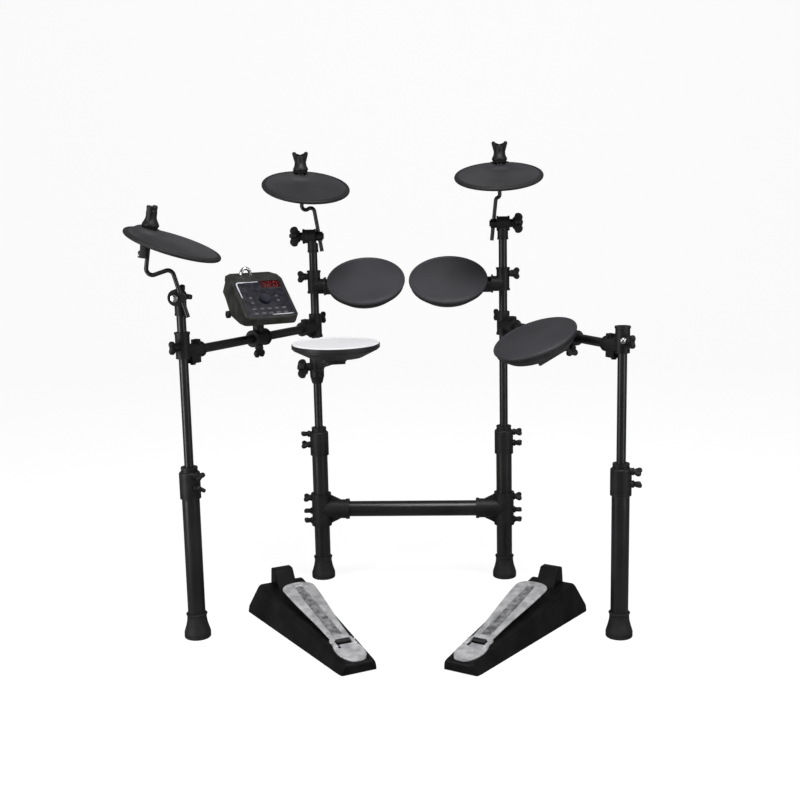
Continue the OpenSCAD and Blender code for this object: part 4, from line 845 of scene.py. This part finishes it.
def heel_plate():
    """The heel plate as rings from the slot to its rounded heel, with four shallow grip grooves."""
    length = pedal_length - pedal_hinge_at - 4
    heel_from, heel_share = 0.72, 0.28
    t = np.concatenate([np.linspace(0, heel_from, 44), heel_from + heel_share * np.sin(quarter(18))[1:]])
    x = 10 + (length - 10) * t
    into_heel = np.clip(t - heel_from, 0, 1) / heel_share
    half = heel_half(t) * np.sqrt(np.clip(1 - into_heel ** 2, 0.0004, 1)) ** 0.6
    groove = 0.8 * sum(np.exp(-((x - at) / 1.3) ** 2) for at in (34, 44, 54, 64))
    edge_round = np.minimum(1.5, half * 0.4)
    y = (half - edge_round)[:, None] * np.linspace(-1, 1, 25)
    inside = smooth_step((np.minimum(half, 22)[:, None] - np.abs(y)) / 2.5)
    z_top = 4.0 - groove[:, None] * inside
    angle = np.linspace(np.pi / 2, 0, 5)[1:]
    edge_y = y[:, -1:] + edge_round[:, None] * np.cos(angle)
    edge_z = 2.5 + 1.5 * np.sin(angle)
    low_y = edge_y[:, -1:] * np.linspace(1, -1, 7)
    return rings_along(x, [y, edge_y, low_y, -edge_y[:, ::-1]],
                       [z_top, edge_z, np.full(7, 0.02), edge_z[::-1]])


plunger_at = 175.0
pedal_fall = np.degrees(np.arctan2(pedal_toe_height - pedal_heel_height, pedal_length))
plunger_low = (pedal_hinge_at - plunger_at) * np.tan(np.radians(board_rise))
for side in sides:
    board = side + "_pedal_board"
    press = joints[side + "_pedal_press"]
    pin = joint_at[side + "_pedal_press"]
    forward = Vector((-press["axis"][1], press["axis"][0], 0.0))
    on_pin = axes_at(pin, forward)
    on_floor = axes_at(Vector((pin.x, pin.y, 0)) - forward * pedal_hinge_at / 1000, forward)
    block = upright_slab(rounded_outline([[17, 50], [92, 50], [49, 113], [25, 113]], [3, 3, 5, 5]), 25, 3)
    add_piece(side + "_pedal_wedge", [(wedge(), on_floor)], wedge_plastic, "rack",
              [side + "_pedal_base"], sharp=32)
    add_piece(side + "_pedal_block", [(block, on_floor)], wedge_plastic, "rack")
    on_slope = on_pin @ shift(0, 0, -6) @ rotate(pedal_fall, "Y")
    arms = [(slab(rounded_box((-16, y - 4.6), (24, y + 4.6), 4.2), eased(0.5, 8.5, 2.5, 5)), on_slope)
            for y in (-24, 24)]
    add_piece(side + "_heel_plate", [(heel_plate(), on_slope), *arms], board_silver, "rack",
              [side + "_pedal_heel"])
    # A thin black nylon plate on the heel plate, where its slot shows dark: painted shade standing in for the open
    # slot
    stop = slab(rounded_outline([[10, -22], [26, -20], [26, -14.5], [10, -14.5]], 2.4),
                eased(3.0, 5.2, 0.8, 4))
    add_piece(side + "_heel_slot_shade", [(stop, on_slope)], clamp_nylon, "rack")
    on_board = on_pin @ rotate(board_rise, "Y")
    add_piece(side + "_footboard", [(footboard(), on_board)], board_silver, board,
              [board])
    add_piece(side + "_footboard_panel", [(board_panel(), on_board)], panel_grey, board)
    # Plunger under the toe, knuckle on the pin, and the pin's two bright heads
    plunger = turned(path([0, -40], corner_arc((5, -39), 1.2, -90, 0, 5), [6.2, -1], [0, -1]), 40)
    knuckle = turned(path([0, -17], corner_arc((5.5, -16), 1, -90, 0, 4),
                          corner_arc((5.5, 16), 1, 0, 90, 4), [0, 17]), 40)
    along_pin = axes_at(pin, upward, (forward.y, -forward.x, 0))
    add_piece(side + "_board_fittings",
              [(plunger, on_pin @ shift(plunger_at - pedal_hinge_at, 0, plunger_low)),
               (knuckle, along_pin)], clamp_nylon, board)
    heads = [turned(path([0, way * 28.4], corner_arc((2.6, way * 29.2), 0.8, -way * 90, 0, 4),
                         corner_arc((2.2, way * 30.2), 1.2, 0, way * 90, 4), [0, way * 31.4]), 32)
             for way in (-1, 1)]
    add_piece(side + "_pin_heads", [(head, along_pin) for head in heads], bolt_zinc, "rack")

# ---------------------------------------------------------------- sound module
# A moulded case with a sloping control panel: a red display behind a dark window, a dial, two rows of
# rubber buttons and a pale line round the panel, painted on as the highlight of its bevelled edge. It tilts on two
# ears over the left arm, with a wire hook behind it and a lock knob at its side.

case_plastic = grained_finish("case_plastic", (0.012, 0.012, 0.0105), (0.034, 0.034, 0.030),
                              (0.40, 0.54), 1900.0, 0.0002, cloud=36.0, shine=0.2)
panel_film = grained_finish("panel_film", (0.008, 0.008, 0.012), (0.026, 0.026, 0.034), (0.32, 0.46),
                            1500.0, 0.00006, cloud=70.0, shine=0.2)
# Pale paint for the line round the panel: a painted highlight of its bevelled edge
bezel_highlight_paint = grained_finish("painted_bezel_highlight", (0.44, 0.45, 0.49), (0.60, 0.62, 0.66), (0.35, 0.5),
                            1500.0, 0.00005, cloud=50.0)
window_glass = grained_finish("window_red", (0.020, 0.0025, 0.003), (0.040, 0.005, 0.006), (0.08, 0.14),
                              900.0, 0.00001, cloud=30.0, coat=0.6)
button_rubber = grained_finish("button_rubber", (0.060, 0.060, 0.068), (0.11, 0.11, 0.12), (0.45, 0.6),
                               1800.0, 0.0001, cloud=60.0)

case_width = 138.0
case_side = np.array([[-50, 118], [-4, 106], [105, 19], [91, 0], [56, 2], [-8, 16], [-44, 58],
                      [-92, 98], [-86, 110]], float)
panel_head, panel_foot = np.array([-4.0, 106.0]), np.array([105.0, 19.0])
panel_slope = np.arctan2(panel_head[1] - panel_foot[1], panel_foot[0] - panel_head[0])
panel_length = np.linalg.norm(panel_head - panel_foot)
module_place = axes_at(joint_at["module_tilt"], joints["module_tilt"]["axis"])
panel_place = (module_place @ shift(0, -panel_foot[0], panel_foot[1])
               @ rotate(np.degrees(panel_slope), "X"))


def case_shell():
    """The case as rings across its width. Each ring is the side outline with rounded corners, drawn in near
    both ends and cut back toward them at the panel's foot and at the top, so the corners are bevelled."""
    outline = rounded_outline(case_side[::-1], [5, 5, 4, 6, 5, 5, 5, 4, 4], 6)
    stretch = []
    for here, there in zip(outline, np.roll(outline, -1, 0)):
        count = max(1, int(np.linalg.norm(there - here) // 5))
        stretch.append(here + (there - here) * np.arange(count)[:, None] / count)
    outline = np.concatenate(stretch)
    half, nose = case_width / 2, 4.5
    end = half - nose * (1 - np.sin(quarter(6)))
    inner = np.linspace(0, half - nose, 16)[:-1]
    x = np.concatenate([-end[::-1], -inner[::-1], inner[1:], end])
    over = np.clip(np.abs(x) - (half - nose), 0, nose)
    draw_in = nose - round_over(over, nose)
    middle = outline.mean(0)
    along = (panel_head - panel_foot) / panel_length
    out = np.array([along[1], -along[0]])
    rings = []
    for at, inset in zip(x, draw_in):
        ring = middle + (outline - middle) * (1 - inset / 55.0)
        up = (ring - panel_foot) @ along
        depth = (ring - panel_foot) @ out
        foot_cut = -12 + np.clip(np.abs(at) - (half - 24), 0, 24) * 21 / 24
        top_cut = panel_length + 45 - np.clip(np.abs(at) - (half - 16), 0, 16) * 23 / 16
        if np.abs(at) < half - 16:
            top_cut += 55
        ring = panel_foot + np.clip(up, foot_cut, top_cut)[:, None] * along + depth[:, None] * out
        rings.append(np.concatenate([np.full((len(ring), 1), at), -ring[:, :1], ring[:, 1:]], 1))
    return capped(np.stack(rings))


ear_outline = rounded_box((-11, -11), (11, 22), [10.8, 10.8, 1, 1])
ears = [slab(ear_outline, eased(x - 3, x + 3, 1.0, 4))[..., [2, 0, 1]] for x in (-18.3, 18.3)]
add_piece("module_case_shell", [(grid, module_place) for grid in (case_shell(), *ears)], case_plastic,
          "module", ["module_case"], sharp=30)

# A bright wire hook for the headphones stands behind the case's top edge: it runs up, over a half
# turn and down again, with an oval section. A knob at the left side locks the tilt.
hook_turn = np.linspace(0, np.pi, 25)
hook_arch = np.stack([-13.5 - 13.0 * np.cos(hook_turn), np.full(25, 40.0),
                      111.0 + 19.0 * np.sin(hook_turn)], 1)
hook_line = path([-26.5, 40, 100], hook_arch, [-0.5, 40, 100])
hook_out = np.stack([-np.concatenate([[1.0], np.cos(hook_turn), [-1.0]]), np.zeros(27),
                     np.concatenate([[0.0], np.sin(hook_turn), [0.0]])], 1)
hook_ring = corner_arc((0, 0), 1.0, 0, 360, 16)[:-1]
hook = (hook_line[:, None] + 4.2 * hook_ring[None, :, :1] * hook_out[:, None]
        + 5.0 * hook_ring[None, :, 1:] * np.array([0.0, 1.0, 0.0]))
add_piece("module_hook", [(capped(hook), module_place)], bolt_zinc, "module")
lock = turned(path([0, -1], [4, -1], [4, 5], corner_arc((8.0, 6.5), 1.2, -90, 0, 4),
                   corner_arc((7.0, 13.0), 2.2, 0, 90, 6), [0, 15.2]), 48)
lock_place = module_place @ shift(7 - case_width / 2, 16, 20) @ rotate(-90, "Y")
add_piece("module_lock_knob", [(lock, lock_place)], clamp_nylon, "module")

# The panel film stands 1 mm proud of the slope; the pale line, a painted highlight of the panel's bevelled edge,
# runs along its top, down its left and along the lower right edge
film = slab(rounded_box((-61, 6), (61, 131), 5), [(0, -1.0), (0, 0.5), (0.4, 0.9), (0.9, 1.0)])
add_piece("module_panel_film", [(film, panel_place)], panel_film, "module")


def line_strip(points, width, thick):
    """A raised strip carried along a path on the panel, with eased ends."""
    points = np.asarray(points, float)
    step = np.diff(points, axis=0)
    step = np.concatenate([step[:1], (step[1:] + step[:-1]) / 2, step[-1:]])
    step /= np.linalg.norm(step, axis=1, keepdims=True)
    sideways = np.stack([-step[:, 1], step[:, 0]], -1)
    section = np.array([[-0.5, 0.6], [-0.5, 0.9 + thick * 0.6], [-0.36, 0.9 + thick],
                        [0.36, 0.9 + thick], [0.5, 0.9 + thick * 0.6], [0.5, 0.6]])
    taper = np.ones(len(points))
    taper[[0, -1]] = 0.55
    across = points[:, None] + sideways[:, None] * section[None, :, :1] * width * taper[:, None, None]
    return capped(np.concatenate([across, np.repeat(section[None, :, 1:], len(points), 0)], -1))


# Paths of the painted edge highlight: along the panel's top and down its left, and along its lower right edge
top_highlight_path = path([1, 126.5], corner_arc((-50, 119.5), 7, 90, 180, 8), [-57, 100], [-56, 72])
low_highlight_path = [[2.0, 9.5], [20, 9.5], [44, 9.5], [58, 10.5]]
add_piece("module_bezel_highlight_lines", [(line_strip(top_highlight_path, 3.4, 0.5), panel_place),
                                 (line_strip(low_highlight_path, 3.0, 0.5), panel_place)],
          bezel_highlight_paint, "module")

window = slab(rounded_box((3, 102), (55, 129), 2.5), [(0, -1.0), (0, 1.2), (0.3, 1.5), (0.8, 1.6)])
add_piece("module_window", [(window, panel_place)], window_glass, "module",
          ["module_display"])

# Three lit numerals of slim bars, a hair proud of the window's face
segment_glow = bpy.data.materials.new("display_segments")
segment_glow.use_nodes = True
tree = segment_glow.node_tree
where = add_node(tree, "TexCoord", {}).outputs["Object"]
fine = add_node(tree, "TexNoise", {"Vector": where, "Scale": 900.0})
red = add_node(tree, "Mix", {"Factor": fine.outputs["Fac"], "A": (0.13, 0.006, 0.008, 1),
                             "B": (0.20, 0.012, 0.013, 1)}, data_type="RGBA").outputs["Result"]
set_inputs(tree, tree.nodes["Principled BSDF"], {
    "Base Color": red, "Emission Color": red, "Emission Strength": 0.22, "Roughness": 0.3})


def numeral_bars(digit, left, low):
    """The lit bars of a seven-bar numeral 9 mm wide and 16 mm high, each a slim six-sided strip."""
    lit = {0: "abcdef", 1: "bc", 2: "abged"}[digit]
    ends = {"a": ((0, 2), (1, 2)), "b": ((1, 2), (1, 1)), "c": ((1, 1), (1, 0)), "d": ((0, 0), (1, 0)),
            "e": ((0, 1), (0, 0)), "f": ((0, 2), (0, 1)), "g": ((0, 1), (1, 1))}
    bars = []
    for key in lit:
        start, stop = (np.array(point) * [9.0, 8.0] + [left, low] for point in ends[key])
        along = (stop - start) / np.linalg.norm(stop - start)
        side = np.array([-along[1], along[0]])
        start, stop = start + along * 0.5, stop - along * 0.5
        outline = np.array([start, start + along + side, stop - along + side, stop,
                            stop - along - side, start + along - side])
        bars.append((slab(outline, [(0, 1.5), (0, 1.68), (0.15, 1.72)]), panel_place))
    return bars


numerals = [bar for digit, left in ((1, 6.5), (2, 22.5), (0, 38.5))
            for bar in numeral_bars(digit, left, 107.5)]
add_piece("module_numerals", numerals, segment_glow, "module")

# Two rows of five rubber buttons, and four round keys by the dial
button_layers = [(0, 0.2), (0, 2.2), (0.5, 2.9), (1.4, 3.1)]
key = turned([[0, 0.2], [4.2, 0.2], [4.2, 2.0], [3.6, 2.8], [0, 3.1]], 28)
buttons = []
for y in (14.5, 30.0):
    for x in (-38.0, -19.0, 0.0, 19.0, 38.0):
        outline = rounded_box((x - 5.8, y - 3.2), (x + 5.8, y + 3.2), 2.6)
        buttons.append((slab(outline, button_layers), panel_place))
buttons += [(key + [x, y, 0], panel_place)
            for x, y in ((-36.0, 52.0), (-36.0, 70.0), (32.0, 56.0), (32.0, 72.0))]
add_piece("module_buttons", buttons, button_rubber, "module", ["module_keys"])

# The dial: a drum 30 mm across with 24 flutes round its wall, an eased edge and a slightly dished top
dial_place = panel_place.copy()
dial_place.translation = joint_at["module_dial_turn"]
dial_angle = np.linspace(0, 2 * np.pi, 144, endpoint=False)
dial_rows = np.array([[0, -3.6], [14.6, -3.6], [14.8, 1.0], [14.8, 7.6], [14.3, 9.3], [13.2, 10.2],
                      [9.5, 10.0], [5.0, 9.7], [0, 9.6]])
flute = 0.45 * (0.5 + 0.5 * np.cos(24 * dial_angle))
dial_radius = dial_rows[:, None, 0] - np.where((dial_rows[:, 0] > 14.5)[:, None], flute[None], 0)
dial_x, dial_y = dial_radius * np.cos(dial_angle), dial_radius * np.sin(dial_angle)
dial_grid = np.stack([dial_x, dial_y, np.repeat(dial_rows[:, 1:], 144, 1)], -1)
dial_blue = grained_finish("dial_plastic", (0.010, 0.010, 0.017), (0.020, 0.020, 0.032), (0.3, 0.42),
                           1800.0, 0.0001, cloud=60.0)
add_piece("module_dial_knob", [(dial_grid, dial_place)], dial_blue, "module_dial",
          ["module_dial"])
